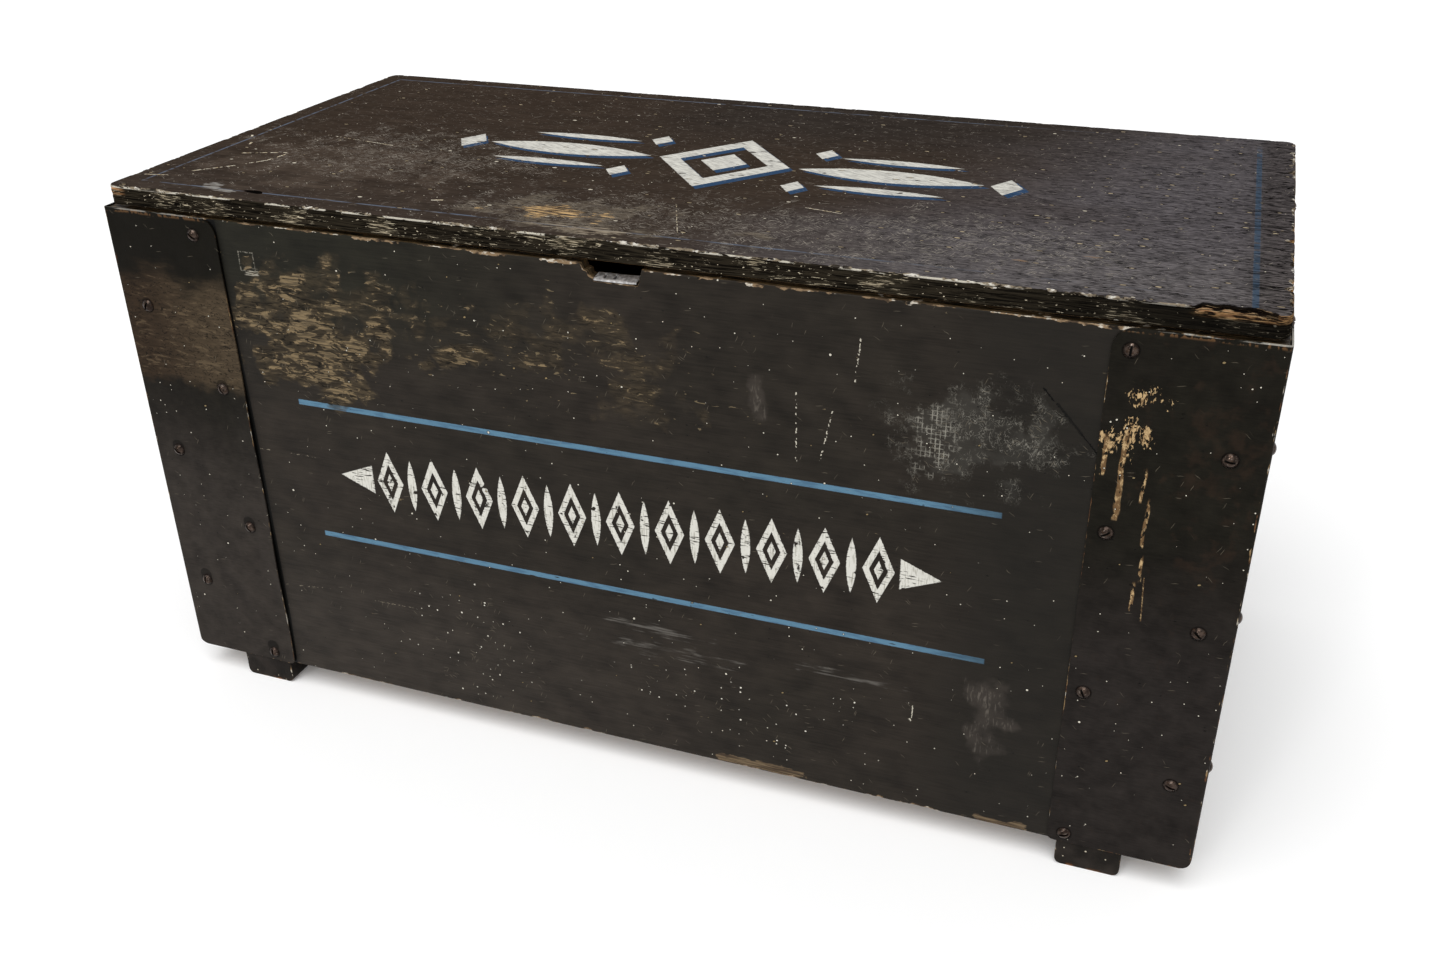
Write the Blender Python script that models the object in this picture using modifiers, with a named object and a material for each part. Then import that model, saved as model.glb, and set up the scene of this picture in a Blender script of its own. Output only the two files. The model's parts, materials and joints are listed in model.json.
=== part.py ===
"""A plywood trunk with sheet-steel corner plates, a hinged lid, two bearers and two drop handles.

Metres, +Z up, the front faces -Y, and the origin is on the floor under the middle of the trunk.
Run it with: blender --background --python part.py
"""

import math

import bmesh
import bpy
from mathutils import Matrix, Vector

# Gaps that neighbours keep, so that no two solids touch.
SEAT_GAP = 0.0003
RUNNING_GAP = 0.0004
OVERRUN = 0.002

# The case, over its corner plates, and its boards.
CASE_WIDTH = 0.914
CASE_DEPTH = 0.440
PANEL_HEIGHT = 0.430
PANEL_THICKNESS = 0.012
FLOOR_THICKNESS = 0.012
PANEL_EDGE = 0.0008
POST_SIZE = 0.028
POST_EDGE = 0.001
RAIL_DEPTH = 0.028
RAIL_HEIGHT = 0.022
BEARER_WIDTH = 0.050
BEARER_HEIGHT = 0.024
BEARER_INSET = 0.0505
BEARER_ROUND = 0.006
BEARER_ROUND_STEPS = 4

# The lid, and how far its edges stand back from the corner plates' outer faces.
LID_THICKNESS = 0.016
LID_LEFT_SETBACK = 0.005
LID_RIGHT_SETBACK = 0.003
LID_FRONT_SETBACK = 0.0025
LID_BACK_SETBACK = 0.0025
LID_CORNER_ROUND = 0.009
LID_EDGE = 0.0016
LID_BATTEN_WIDTH = 0.045
LID_BATTEN_THICKNESS = 0.016
LID_BATTEN_CLEARANCE = 0.006

# The bent corner plates.
PLATE_LEG = 0.108
PLATE_THICKNESS = 0.0012
PLATE_BEND_RADIUS = 0.0022
PLATE_BEND_STEPS = 5
PLATE_TOP_ROUND = 0.015
PLATE_BOTTOM_ROUND = 0.005
PLATE_RISE = 0.001
ROUND_STEPS = 6

# The rounding of the long lower edge of each end, over its plates.
FOOT_ROUND = 0.009

# The round-head screws in the plates, in a zigzag down each leg.
SCREWS_PER_LEG = 7
SCREW_TOP_INSET = 0.0155
SCREW_BOTTOM_INSET = 0.0085
SCREW_END_BOTTOM_INSET = 0.0155
SCREW_INNER_INSET = 0.022
SCREW_RIGHT_INNER_INSET = 0.0125
SCREW_CORNER_INSET = 0.0245
SCREW_HEAD_RADIUS = 0.0055
SCREW_HEAD_HEIGHT = 0.0034
SCREW_SHANK_RADIUS = 0.0020
SCREW_LENGTH = 0.0095
SCREW_TIP_LENGTH = 0.0025
SCREW_SLOT_WIDTH = 0.0012
SCREW_SLOT_DEPTH = 0.0012
SCREW_HOLE_CLEARANCE = 0.0004
SCREW_SIDES = 12
SCREW_DOME_STEPS = 3
PILOT_SIDES = 8
SLOT_TURN = math.radians(137.5)

# The catch keeper in the broken notch of the front's top edge.
NOTCH_LEFT = 0.028
NOTCH_RIGHT = 0.020
NOTCH_DEPTH = 0.0125
KEEPER_LENGTH = 0.034
KEEPER_DEPTH = 0.0105
KEEPER_THICKNESS = 0.0015
KEEPER_SHIFT = -0.0015
KEEPER_SLOT_WIDTH = 0.0020
KEEPER_SLOT_LENGTH = 0.0060
KEEPER_SLOT_SHARES = (0.22, 0.46)

# The chip at the right of the lid's front edge.
CHIP_INSET = 0.004
CHIP_LENGTH = 0.054
CHIP_DEPTH = 0.0085
CHIP_HEIGHT = 0.0045

# The butt hinges.
HINGE_END_INSET = 0.157
HINGE_LENGTH = 0.070
HINGE_LEAF_WIDTH = 0.025
HINGE_LEAF_THICKNESS = 0.0010
HINGE_KNUCKLES = 5
HINGE_KNUCKLE_RADIUS = 0.0030
HINGE_KNUCKLE_CLEARANCE = 0.0005
HINGE_BORE_RADIUS = 0.00178
HINGE_PIN_RADIUS = 0.0015
HINGE_PIN_HEAD_RADIUS = 0.0026
HINGE_PIN_HEAD_HEIGHT = 0.0012
HINGE_SIDES = 16

# The drop handles on the ends.
HANDLE_PIVOT_DROP = 0.120
HANDLE_BASE_LENGTH = 0.126
HANDLE_BASE_HEIGHT = 0.036
HANDLE_BASE_THICKNESS = 0.0016
HANDLE_BASE_ROUND = 0.010
HANDLE_EYE_INSET = 0.021
HANDLE_EYE_RADIUS = 0.0052
HANDLE_EYE_LENGTH = 0.010
HANDLE_ROD_RADIUS = 0.0034
HANDLE_BORE_CLEARANCE = 0.0005
HANDLE_BAIL_INSET = 0.004
HANDLE_BAIL_DROP = 0.054
HANDLE_BEND_RADIUS = 0.010
HANDLE_BEND_STEPS = 5
HANDLE_END_OVERHANG = 0.003
HANDLE_SCREW_SPACING = 0.040
HANDLE_SCREW_INSET = 0.0078
HANDLE_SCREW_RADIUS = 0.0040
HANDLE_SCREW_HEIGHT = 0.0022
HANDLE_SIDES = 16

# Places worked out from the sizes above, measured from the middle of the case.
PANEL_INSET = PLATE_THICKNESS + SEAT_GAP
PANEL_HALF_WIDTH = CASE_WIDTH / 2 - PANEL_INSET
PANEL_HALF_DEPTH = CASE_DEPTH / 2 - PANEL_INSET
PANEL_BOTTOM = BEARER_HEIGHT + SEAT_GAP
PANEL_TOP = PANEL_BOTTOM + PANEL_HEIGHT
FLOOR_TOP = PANEL_BOTTOM + FLOOR_THICKNESS
LID_GAP = 2 * HINGE_LEAF_THICKNESS + 3 * SEAT_GAP
LID_BOTTOM = PANEL_TOP + LID_GAP
POST_INSET = PANEL_THICKNESS + SEAT_GAP
HINGE_AXIS_BEHIND = PANEL_HALF_DEPTH + HINGE_KNUCKLE_RADIUS + HINGE_KNUCKLE_CLEARANCE
HINGE_AXIS_Z = PANEL_TOP + LID_GAP / 2
FRONT_REACH = CASE_DEPTH / 2 + SEAT_GAP + SCREW_HEAD_HEIGHT
BACK_REACH = HINGE_AXIS_BEHIND + HINGE_KNUCKLE_RADIUS
CASE_CENTRE_Y = (FRONT_REACH - BACK_REACH) / 2
HANDLE_PIVOT_OUT = SEAT_GAP + HANDLE_BASE_THICKNESS + SEAT_GAP + HANDLE_ROD_RADIUS
HANDLE_EYE_SPACING = HANDLE_BASE_LENGTH - 2 * HANDLE_EYE_INSET
HANDLE_BAIL_WIDTH = HANDLE_BASE_LENGTH - 2 * HANDLE_BAIL_INSET

BLACK_PAINT = (0.020, 0.018, 0.016)
PLATE_PAINT = (0.024, 0.021, 0.018)
BARE_WOOD = (0.33, 0.24, 0.15)
OLD_STEEL = (0.20, 0.16, 0.13)
BRIGHT_STEEL = (0.55, 0.53, 0.50)
DARK_IRON = (0.05, 0.045, 0.04)


def clear_scene():
    for obj in list(bpy.data.objects):
        bpy.data.objects.remove(obj)


def collection(name):
    made = bpy.data.collections.new(name)
    bpy.context.scene.collection.children.link(made)
    return made


def material(name, colour, roughness, metallic=0.0):
    made = bpy.data.materials.new(name)
    made.use_nodes = True
    shader = made.node_tree.nodes["Principled BSDF"]
    shader.inputs["Base Color"].default_value = (*colour, 1.0)
    shader.inputs["Roughness"].default_value = roughness
    shader.inputs["Metallic"].default_value = metallic
    return made


def add_object(name, mesh, finish, location=(0, 0, 0), parent=None, into=None):
    obj = bpy.data.objects.new(name, mesh)
    (into or trunk).objects.link(obj)
    obj.location = location
    obj.parent = parent
    if finish:
        if mesh.materials:
            mesh.materials[0] = finish
        else:
            mesh.materials.append(finish)
    return obj


def add_cutter(name, mesh, location=(0, 0, 0), parent=None):
    obj = add_object(name, mesh, None, location, parent, cutters)
    obj.hide_render = True
    obj.display_type = "WIRE"
    return obj


def add_empty(name, location, turn=0.0):
    obj = bpy.data.objects.new(name, None)
    trunk.objects.link(obj)
    obj.location = location
    obj.rotation_euler.z = turn
    return obj


def mesh_from(name, build):
    """A mesh made by build(bm), with its normals facing out."""
    bm = bmesh.new()
    build(bm)
    mesh = bpy.data.meshes.new(name)
    bm.to_mesh(mesh)
    bm.free()
    return mesh


def cube_into(bm, low, high):
    """A box between two corners."""
    made = bmesh.ops.create_cube(bm, size=1)["verts"]
    size = [b - a for a, b in zip(low, high)]
    centre = [(a + b) / 2 for a, b in zip(low, high)]
    bmesh.ops.scale(bm, vec=size, verts=made)
    bmesh.ops.translate(bm, vec=centre, verts=made)
    return made


def rod_into(bm, radius, start, end, sides):
    """A closed cylinder from one point to another."""
    start, end = Vector(start), Vector(end)
    run = end - start
    turn = run.to_track_quat("Z", "Y").to_matrix().to_4x4()
    bmesh.ops.create_cone(
        bm,
        cap_ends=True,
        segments=sides,
        radius1=radius,
        radius2=radius,
        depth=run.length,
        matrix=Matrix.Translation((start + end) / 2) @ turn,
    )


def box_mesh(name, size):
    half = [s / 2 for s in size]
    return mesh_from(name, lambda bm: cube_into(bm, [-h for h in half], half))


def bevel(obj, width, segments=2):
    made = obj.modifiers.new("edges", "BEVEL")
    made.width = width
    made.segments = segments
    made.limit_method = "ANGLE"
    made.angle_limit = math.radians(50)


def round_off(bm, geom, radius, steps=ROUND_STEPS, affect="EDGES"):
    """Rounds edges of a solid, or corners of a sheet, with an arc."""
    bmesh.ops.bevel(bm, geom=geom, offset=radius, segments=steps, profile=0.5, affect=affect)


def boolean(obj, cutter, operation="DIFFERENCE"):
    made = obj.modifiers.new(operation.lower(), "BOOLEAN")
    made.operation = operation
    made.object = cutter


def board(name, low, high, finish, edge=PANEL_EDGE, parent=None, origin=(0, 0, 0)):
    """A rectangular board between two corners given from the origin of its parent."""
    size = [b - a for a, b in zip(low, high)]
    centre = [(a + b) / 2 - o for a, b, o in zip(low, high, origin)]
    obj = add_object(name, box_mesh(name, size), finish, centre, parent)
    if edge:
        bevel(obj, edge)
    return obj


def frozen(obj):
    """The mesh of an object as its modifiers leave it, and the object removed."""
    graph = bpy.context.evaluated_depsgraph_get()
    mesh = bpy.data.meshes.new_from_object(obj.evaluated_get(graph))
    mesh.name = obj.name
    bm = bmesh.new()
    bm.from_mesh(mesh)
    bmesh.ops.remove_doubles(bm, verts=bm.verts, dist=SEAT_GAP / 10)
    bm.to_mesh(mesh)
    bm.free()
    bpy.data.objects.remove(obj)
    return mesh


def outline_mesh(name, points, thickness):
    """A flat outline in XY, made a slab about z = 0."""
    curve = bpy.data.curves.new(name, "CURVE")
    curve.dimensions = "2D"
    curve.fill_mode = "BOTH"
    curve.extrude = thickness / 2
    spline = curve.splines.new("POLY")
    spline.points.add(len(points) - 1)
    for point, (x, y) in zip(spline.points, points):
        point.co = (x, y, 0, 1)
    spline.use_cyclic_u = True
    obj = bpy.data.objects.new(name, curve)
    cutters.objects.link(obj)
    bpy.context.view_layer.update()
    return frozen(obj)


def turned_mesh(name, profile, sides):
    """A profile of (radius, height) from top to bottom, turned about Z."""
    mesh = bpy.data.meshes.new(name)
    edges = [(i, i + 1) for i in range(len(profile) - 1)]
    mesh.from_pydata([(r, 0, z) for r, z in profile], edges, [])
    obj = bpy.data.objects.new(name, mesh)
    cutters.objects.link(obj)
    turn = obj.modifiers.new("turn", "SCREW")
    turn.steps = turn.render_steps = sides
    turn.use_merge_vertices = True
    turn.merge_threshold = SEAT_GAP / 10
    bpy.context.view_layer.update()
    made = frozen(obj)
    made.shade_smooth()
    made.set_sharp_from_angle(angle=math.radians(40))
    return made


def dome(radius, height, steps):
    """Points of a round head's profile, from its crown to its rim."""
    ball = (radius**2 + height**2) / (2 * height)
    rim = math.asin(radius / ball)
    angles = [rim * i / steps for i in range(steps + 1)]
    return [(ball * math.sin(a), height - ball * (1 - math.cos(a))) for a in angles]


def screw_mesh():
    """A slotted round-head wood screw, its head's seat at z = 0 and its shank down -Z."""
    shank = [
        (SCREW_SHANK_RADIUS, 0),
        (SCREW_SHANK_RADIUS, SCREW_TIP_LENGTH - SCREW_LENGTH),
        (0, -SCREW_LENGTH),
    ]
    head = dome(SCREW_HEAD_RADIUS, SCREW_HEAD_HEIGHT, SCREW_DOME_STEPS)
    obj = add_cutter("screw_blank", turned_mesh("screw_blank", head + shank, SCREW_SIDES))
    reach, half = SCREW_HEAD_RADIUS + OVERRUN, SCREW_SLOT_WIDTH / 2
    floor, roof = SCREW_HEAD_HEIGHT - SCREW_SLOT_DEPTH, SCREW_HEAD_HEIGHT + OVERRUN
    slot = mesh_from("screw_slot", lambda bm: cube_into(bm, (-reach, -half, floor), (reach, half, roof)))
    boolean(obj, add_cutter("screw_slot", slot))
    bpy.context.view_layer.update()
    return frozen(obj)


def screw_places(layout):
    """(leg, distance from the corner, height, number) of each screw in one plate, from its top down.

    layout holds which leg lies on the end, and how far the other leg's inner screws are from its free edge.
    """
    end_leg, face_inset = layout
    top = PANEL_HEIGHT + PLATE_RISE - SCREW_TOP_INSET
    for leg in range(2):
        bottom = SCREW_END_BOTTOM_INSET if leg == end_leg else SCREW_BOTTOM_INSET
        inner_inset = SCREW_INNER_INSET if leg == end_leg else face_inset
        for i in range(SCREWS_PER_LEG):
            along = SCREW_CORNER_INSET if i % 2 else PLATE_LEG - inner_inset
            height = top - i * (top - bottom) / (SCREWS_PER_LEG - 1)
            yield leg, along, height, leg * SCREWS_PER_LEG + i + 1


def plate_sheet(bm):
    """The outer face of a corner plate: legs along +X and +Y from the corner, free corners rounded."""
    radius = PLATE_BEND_RADIUS
    quarter = [math.pi / 2 * i / PLATE_BEND_STEPS for i in range(PLATE_BEND_STEPS + 1)]
    bend = [(radius * (1 - math.cos(a)), radius * (1 - math.sin(a))) for a in quarter]
    path = [bm.verts.new((x, y, 0)) for x, y in [(0, PLATE_LEG), *bend, (PLATE_LEG, 0)]]
    edges = [bm.edges.new(pair) for pair in zip(path, path[1:])]
    raised = bmesh.ops.extrude_edge_only(bm, edges=edges)["geom"]
    tops = [v for v in raised if isinstance(v, bmesh.types.BMVert)]
    bmesh.ops.translate(bm, vec=(0, 0, PANEL_HEIGHT + PLATE_RISE), verts=tops)
    round_off(bm, [tops[0], tops[-1]], PLATE_TOP_ROUND, affect="VERTICES")
    round_off(bm, [path[0], path[-1]], PLATE_BOTTOM_ROUND, affect="VERTICES")
    bm.normal_update()
    inward = [f for f in bm.faces if f.normal.x + f.normal.y > 0]
    bmesh.ops.reverse_faces(bm, faces=inward)


def plate_mesh():
    """A bent corner plate without its holes."""
    obj = bpy.data.objects.new("plate_blank", mesh_from("plate_blank", plate_sheet))
    cutters.objects.link(obj)
    wall = obj.modifiers.new("wall", "SOLIDIFY")
    wall.thickness = PLATE_THICKNESS
    wall.offset = -1
    wall.use_even_offset = True
    bpy.context.view_layer.update()
    return frozen(obj)


def leg_point(leg, along, out, height):
    """A point of a plate's leg, out from its outer face, in the corner's own frame."""
    return (along, -out, height) if leg == 0 else (-out, along, height)


def seated(leg, along, out, height):
    """The place and turn of a screw in a plate's leg, its head outwards."""
    outward = Matrix.Rotation(math.pi / 2, 4, "X") if leg == 0 else Matrix.Rotation(-math.pi / 2, 4, "Y")
    return Matrix.Translation(leg_point(leg, along, out, height)) @ outward


def screw_holes(name, radius, start, end, corner, layout):
    """Cutters for one plate's screws, running from start to end, measured out from the plate's face."""
    def build(bm):
        for leg, along, height, _ in screw_places(layout):
            rod_into(bm, radius, leg_point(leg, along, start, height), leg_point(leg, along, end, height),
                     PILOT_SIDES)
    return add_cutter(name, mesh_from(name, build), parent=corner)


def fused_heads(name, corner, layout):
    """The screw heads of one plate, sunk a little into it, to be joined with it."""
    sink = PLATE_THICKNESS / 2
    blank = turned_mesh(name, [*dome(SCREW_HEAD_RADIUS, SCREW_HEAD_HEIGHT + SEAT_GAP, SCREW_DOME_STEPS),
                               (SCREW_HEAD_RADIUS, -sink), (0, -sink)], SCREW_SIDES)

    def build(bm):
        for leg, along, height, _ in screw_places(layout):
            before = set(bm.verts)
            bm.from_mesh(blank)
            bmesh.ops.transform(bm, matrix=seated(leg, along, 0, height),
                                verts=[v for v in bm.verts if v not in before])
    return add_cutter(name, mesh_from(name, build), parent=corner)


def foot_cutters():
    """A tool for each end that rounds off its long lower edge, plates and boards alike."""
    radius = FOOT_ROUND
    quarter = [math.pi / 2 * i / ROUND_STEPS for i in range(ROUND_STEPS + 1)]
    arc = [(radius * (1 - math.sin(a)), radius * (1 - math.cos(a))) for a in quarter]
    outline = [(-OVERRUN, -OVERRUN), (radius, -OVERRUN), *arc, (-OVERRUN, radius)]
    mesh = outline_mesh("foot", outline, CASE_DEPTH + 2 * OVERRUN)
    made = {}
    for side, sign, turn in (("left", -1, 0.0), ("right", 1, math.pi)):
        made[side] = add_cutter(f"{side}_foot", mesh, (sign * CASE_WIDTH / 2, CASE_CENTRE_Y, PANEL_BOTTOM))
        made[side].rotation_euler = (math.pi / 2, 0, turn)
    return made


def make_corners(steel, screw_steel, feet):
    """Four corner plates. The front two carry separate screws; the back two have their heads joined on."""
    blank, screw = plate_mesh(), screw_mesh()
    half_width, half_depth = CASE_WIDTH / 2, CASE_DEPTH / 2
    corners = {
        "front_left": (-half_width, -half_depth, 0.0, (1, SCREW_INNER_INSET)),
        "front_right": (half_width, -half_depth, math.pi / 2, (0, SCREW_RIGHT_INNER_INSET)),
        "back_right": (half_width, half_depth, math.pi, (1, SCREW_RIGHT_INNER_INSET)),
        "back_left": (-half_width, half_depth, -math.pi / 2, (0, SCREW_INNER_INSET)),
    }
    frames = {}
    for name, (x, y, turn, layout) in corners.items():
        corner = add_empty(f"{name}_corner", (x, y + CASE_CENTRE_Y, PANEL_BOTTOM), turn)
        frames[name] = corner, layout
        plate = add_object(f"{name}_corner_plate", blank.copy(), steel, parent=corner)
        boolean(plate, feet[name.split("_")[1]])
        if name.startswith("back"):
            boolean(plate, fused_heads(f"{name}_heads", corner, layout), "UNION")
            continue
        boolean(plate, screw_holes(f"{name}_plate_holes", SCREW_SHANK_RADIUS + SCREW_HOLE_CLEARANCE,
                                   OVERRUN, -PLATE_THICKNESS - OVERRUN, corner, layout))
        for leg, along, height, number in screw_places(layout):
            obj = add_object(f"{name}_screw_{number:02d}", screw, screw_steel, parent=corner)
            turned = seated(leg, along, SEAT_GAP, height) @ Matrix.Rotation(SLOT_TURN * number, 4, "Z")
            obj.location, obj.rotation_euler = turned.translation, turned.to_euler()
    return frames


def make_case(painted, bare, corners, feet):
    """The five boards, the posts inside the corners, the hinge rail and the bearers."""
    centre = Vector((0, CASE_CENTRE_Y, 0))
    inner_x, inner_y = PANEL_HALF_WIDTH - PANEL_THICKNESS, PANEL_HALF_DEPTH - PANEL_THICKNESS

    def at(low, high):
        return Vector(low) + centre, Vector(high) + centre

    front = board("front_panel", *at((-PANEL_HALF_WIDTH, -PANEL_HALF_DEPTH, PANEL_BOTTOM),
                                     (PANEL_HALF_WIDTH, -inner_y, PANEL_TOP)), painted)
    back = board("back_panel", *at((-PANEL_HALF_WIDTH, inner_y, PANEL_BOTTOM),
                                   (PANEL_HALF_WIDTH, PANEL_HALF_DEPTH, PANEL_TOP)), painted)
    end_y = inner_y - SEAT_GAP
    ends = {
        "left": board("left_end_panel", *at((-PANEL_HALF_WIDTH, -end_y, PANEL_BOTTOM),
                                            (-inner_x, end_y, PANEL_TOP)), painted),
        "right": board("right_end_panel", *at((inner_x, -end_y, PANEL_BOTTOM),
                                              (PANEL_HALF_WIDTH, end_y, PANEL_TOP)), painted),
    }
    board("floor_panel", *at((SEAT_GAP - inner_x, -end_y, PANEL_BOTTOM),
                             (inner_x - SEAT_GAP, end_y, FLOOR_TOP)), bare)
    for side, tool in feet.items():
        for obj in (front, back, ends[side]):
            boolean(obj, tool)

    post_x, post_y = PANEL_HALF_WIDTH - POST_INSET, PANEL_HALF_DEPTH - POST_INSET
    foot, head = FLOOR_TOP + SEAT_GAP, LID_BOTTOM - SEAT_GAP
    for name, (sx, sy) in {"front_left": (-1, -1), "front_right": (1, -1), "back_left": (-1, 1),
                           "back_right": (1, 1)}.items():
        xs = sorted((sx * post_x, sx * (post_x - POST_SIZE)))
        ys = sorted((sy * post_y, sy * (post_y - POST_SIZE)))
        board(f"{name}_post", *at((xs[0], ys[0], foot), (xs[1], ys[1], head)), bare, POST_EDGE)

    rail_x = post_x - POST_SIZE - SEAT_GAP
    board("hinge_rail", *at((-rail_x, post_y - RAIL_DEPTH, PANEL_TOP - RAIL_HEIGHT),
                            (rail_x, post_y, PANEL_TOP)), bare, POST_EDGE)

    pilot = SCREW_SHANK_RADIUS + SCREW_HOLE_CLEARANCE
    for name in ("front_left", "front_right"):
        cutter = screw_holes(f"{name}_pilot_holes", pilot, OVERRUN, -SCREW_LENGTH - SEAT_GAP,
                             *corners[name])
        boolean(front, cutter)
        boolean(ends[name.split("_")[1]], cutter)
    boolean(front, notch_cutter())
    for side, sign in (("left", -1), ("right", 1)):
        make_bearer(f"{side}_bearer", sign, painted)


def notch_outline():
    """The ragged break in the front's top edge, from its middle: x to the right, y up."""
    left, right, deep = NOTCH_LEFT, NOTCH_RIGHT, NOTCH_DEPTH
    shares = [(-1, 0.1), (-1, 0), (-0.86, -0.45), (-0.7, -0.8), (-0.66, -1)]
    right_shares = [(0.86, -1), (0.93, -0.6), (0.97, -0.3), (1, 0), (1, 0.1)]
    return [(left * x, deep * y) for x, y in shares] + [(right * x, deep * y) for x, y in right_shares]


def notch_cutter():
    mesh = outline_mesh("notch", notch_outline(), PANEL_THICKNESS + 2 * OVERRUN)
    obj = add_cutter("notch", mesh, (0, CASE_CENTRE_Y - PANEL_HALF_DEPTH + PANEL_THICKNESS / 2, PANEL_TOP))
    obj.rotation_euler.x = math.pi / 2
    return obj


def make_keeper(steel):
    """The catch's keeper, lying on the notch's floor, with its two slots."""
    low = PANEL_TOP - NOTCH_DEPTH + SEAT_GAP
    middle_y = CASE_CENTRE_Y - PANEL_HALF_DEPTH + PANEL_THICKNESS / 2
    mesh = box_mesh("keeper_plate", (KEEPER_LENGTH, KEEPER_DEPTH, KEEPER_THICKNESS))
    obj = add_object("keeper_plate", mesh, steel, (KEEPER_SHIFT, middle_y, low + KEEPER_THICKNESS / 2))
    half_slot, half_length = KEEPER_SLOT_WIDTH / 2, KEEPER_SLOT_LENGTH / 2

    def build(bm):
        for share in KEEPER_SLOT_SHARES:
            x = KEEPER_LENGTH * (share - 1 / 2)
            cube_into(bm, (x - half_slot, -half_length, -KEEPER_THICKNESS),
                      (x + half_slot, half_length, KEEPER_THICKNESS))
    boolean(obj, add_cutter("keeper_slots", mesh_from("keeper_slots", build), obj.location))


def make_bearer(name, sign, finish):
    """A batten under the case from front to back, its lower long edges rounded."""
    outer = CASE_WIDTH / 2 - BEARER_INSET
    size = (BEARER_WIDTH, 2 * PANEL_HALF_DEPTH, BEARER_HEIGHT)

    def build(bm):
        cube_into(bm, [-s / 2 for s in size], [s / 2 for s in size])
        lower = [e for e in bm.edges if all(v.co.z < 0 for v in e.verts)
                 and e.verts[0].co.x == e.verts[1].co.x]
        round_off(bm, lower, BEARER_ROUND, BEARER_ROUND_STEPS)
    add_object(name, mesh_from(name, build), finish,
               (sign * (outer - BEARER_WIDTH / 2), CASE_CENTRE_Y, BEARER_HEIGHT / 2))


def make_lid(painted, bare, axis):
    """The lid board and the two battens under it, on the hinge axis."""
    origin = axis.location
    left, right = LID_LEFT_SETBACK - CASE_WIDTH / 2, CASE_WIDTH / 2 - LID_RIGHT_SETBACK
    front = CASE_CENTRE_Y - CASE_DEPTH / 2 + LID_FRONT_SETBACK
    back = CASE_CENTRE_Y + CASE_DEPTH / 2 - LID_BACK_SETBACK
    centre = Vector(((left + right) / 2, (front + back) / 2, LID_BOTTOM + LID_THICKNESS / 2))

    def build(bm):
        half = ((right - left) / 2, (back - front) / 2, LID_THICKNESS / 2)
        cube_into(bm, [-h for h in half], half)
        upright = [e for e in bm.edges if e.verts[0].co.z != e.verts[1].co.z]
        round_off(bm, upright, LID_CORNER_ROUND)
    lid = add_object("lid_panel", mesh_from("lid_panel", build), painted, centre - origin, axis)
    bevel(lid, LID_EDGE)

    shares = [(0, -0.3), (0, 0.35), (0.06, 0.75), (0.3, 0.9), (0.52, 1), (0.78, 0.82), (0.95, 0.55),
              (1, 0.2), (1, -0.3)]
    mesh = outline_mesh("lid_chip", [(CHIP_LENGTH * x, CHIP_DEPTH * y) for x, y in shares], 2 * CHIP_HEIGHT)
    chip_left = right - CHIP_INSET - CHIP_LENGTH
    boolean(lid, add_cutter("lid_chip", mesh, (chip_left, front, LID_BOTTOM + LID_THICKNESS)))

    batten_front = CASE_CENTRE_Y - PANEL_HALF_DEPTH + PANEL_THICKNESS + LID_BATTEN_CLEARANCE
    batten_back = CASE_CENTRE_Y + PANEL_HALF_DEPTH - POST_INSET - RAIL_DEPTH - LID_BATTEN_CLEARANCE
    outer = PANEL_HALF_WIDTH - POST_INSET - POST_SIZE - LID_BATTEN_CLEARANCE
    top = LID_BOTTOM - SEAT_GAP
    for side, sign in (("left", -1), ("right", 1)):
        xs = sorted((sign * outer, sign * (outer - LID_BATTEN_WIDTH)))
        board(f"{side}_lid_batten", (xs[0], batten_front, top - LID_BATTEN_THICKNESS),
              (xs[1], batten_back, top), bare, POST_EDGE, axis, origin)


def knuckle_spans(own):
    """(start, end) along the hinge of the knuckles that one leaf has, or of the other's."""
    pitch = HINGE_LENGTH / HINGE_KNUCKLES
    for i in range(HINGE_KNUCKLES):
        if i % 2 == own:
            start = -HINGE_LENGTH / 2 + i * pitch
            yield start + RUNNING_GAP / 2, start + pitch - RUNNING_GAP / 2


def make_leaf(name, own, low, steel, place, parent=None):
    """A hinge leaf about its own axis. own is 0 for the outer knuckles and 1 for the inner ones."""
    half, radius, gap = HINGE_LENGTH / 2, HINGE_KNUCKLE_RADIUS, RUNNING_GAP

    def build_leaf(bm):
        cube_into(bm, (-half, -HINGE_LEAF_WIDTH, low), (half, 0, low + HINGE_LEAF_THICKNESS))

    def build_room(bm):
        for start, end in knuckle_spans(1 - own):
            cube_into(bm, (start - gap, -radius - gap, -radius), (end + gap, radius, radius))

    def build_barrels(bm):
        for start, end in knuckle_spans(own):
            rod_into(bm, radius, (start, 0, 0), (end, 0, 0), HINGE_SIDES)

    def build_bore(bm):
        rod_into(bm, HINGE_BORE_RADIUS, (-half - OVERRUN, 0, 0), (half + OVERRUN, 0, 0), HINGE_SIDES)

    leaf = add_object(name, mesh_from(name, build_leaf), steel, place, parent)
    for tool, build, operation in (("room", build_room, "DIFFERENCE"), ("barrels", build_barrels, "UNION"),
                                   ("bore", build_bore, "DIFFERENCE")):
        cutter = add_cutter(f"{name}_{tool}", mesh_from(f"{name}_{tool}", build), place, parent)
        boolean(leaf, cutter, operation)


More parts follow.
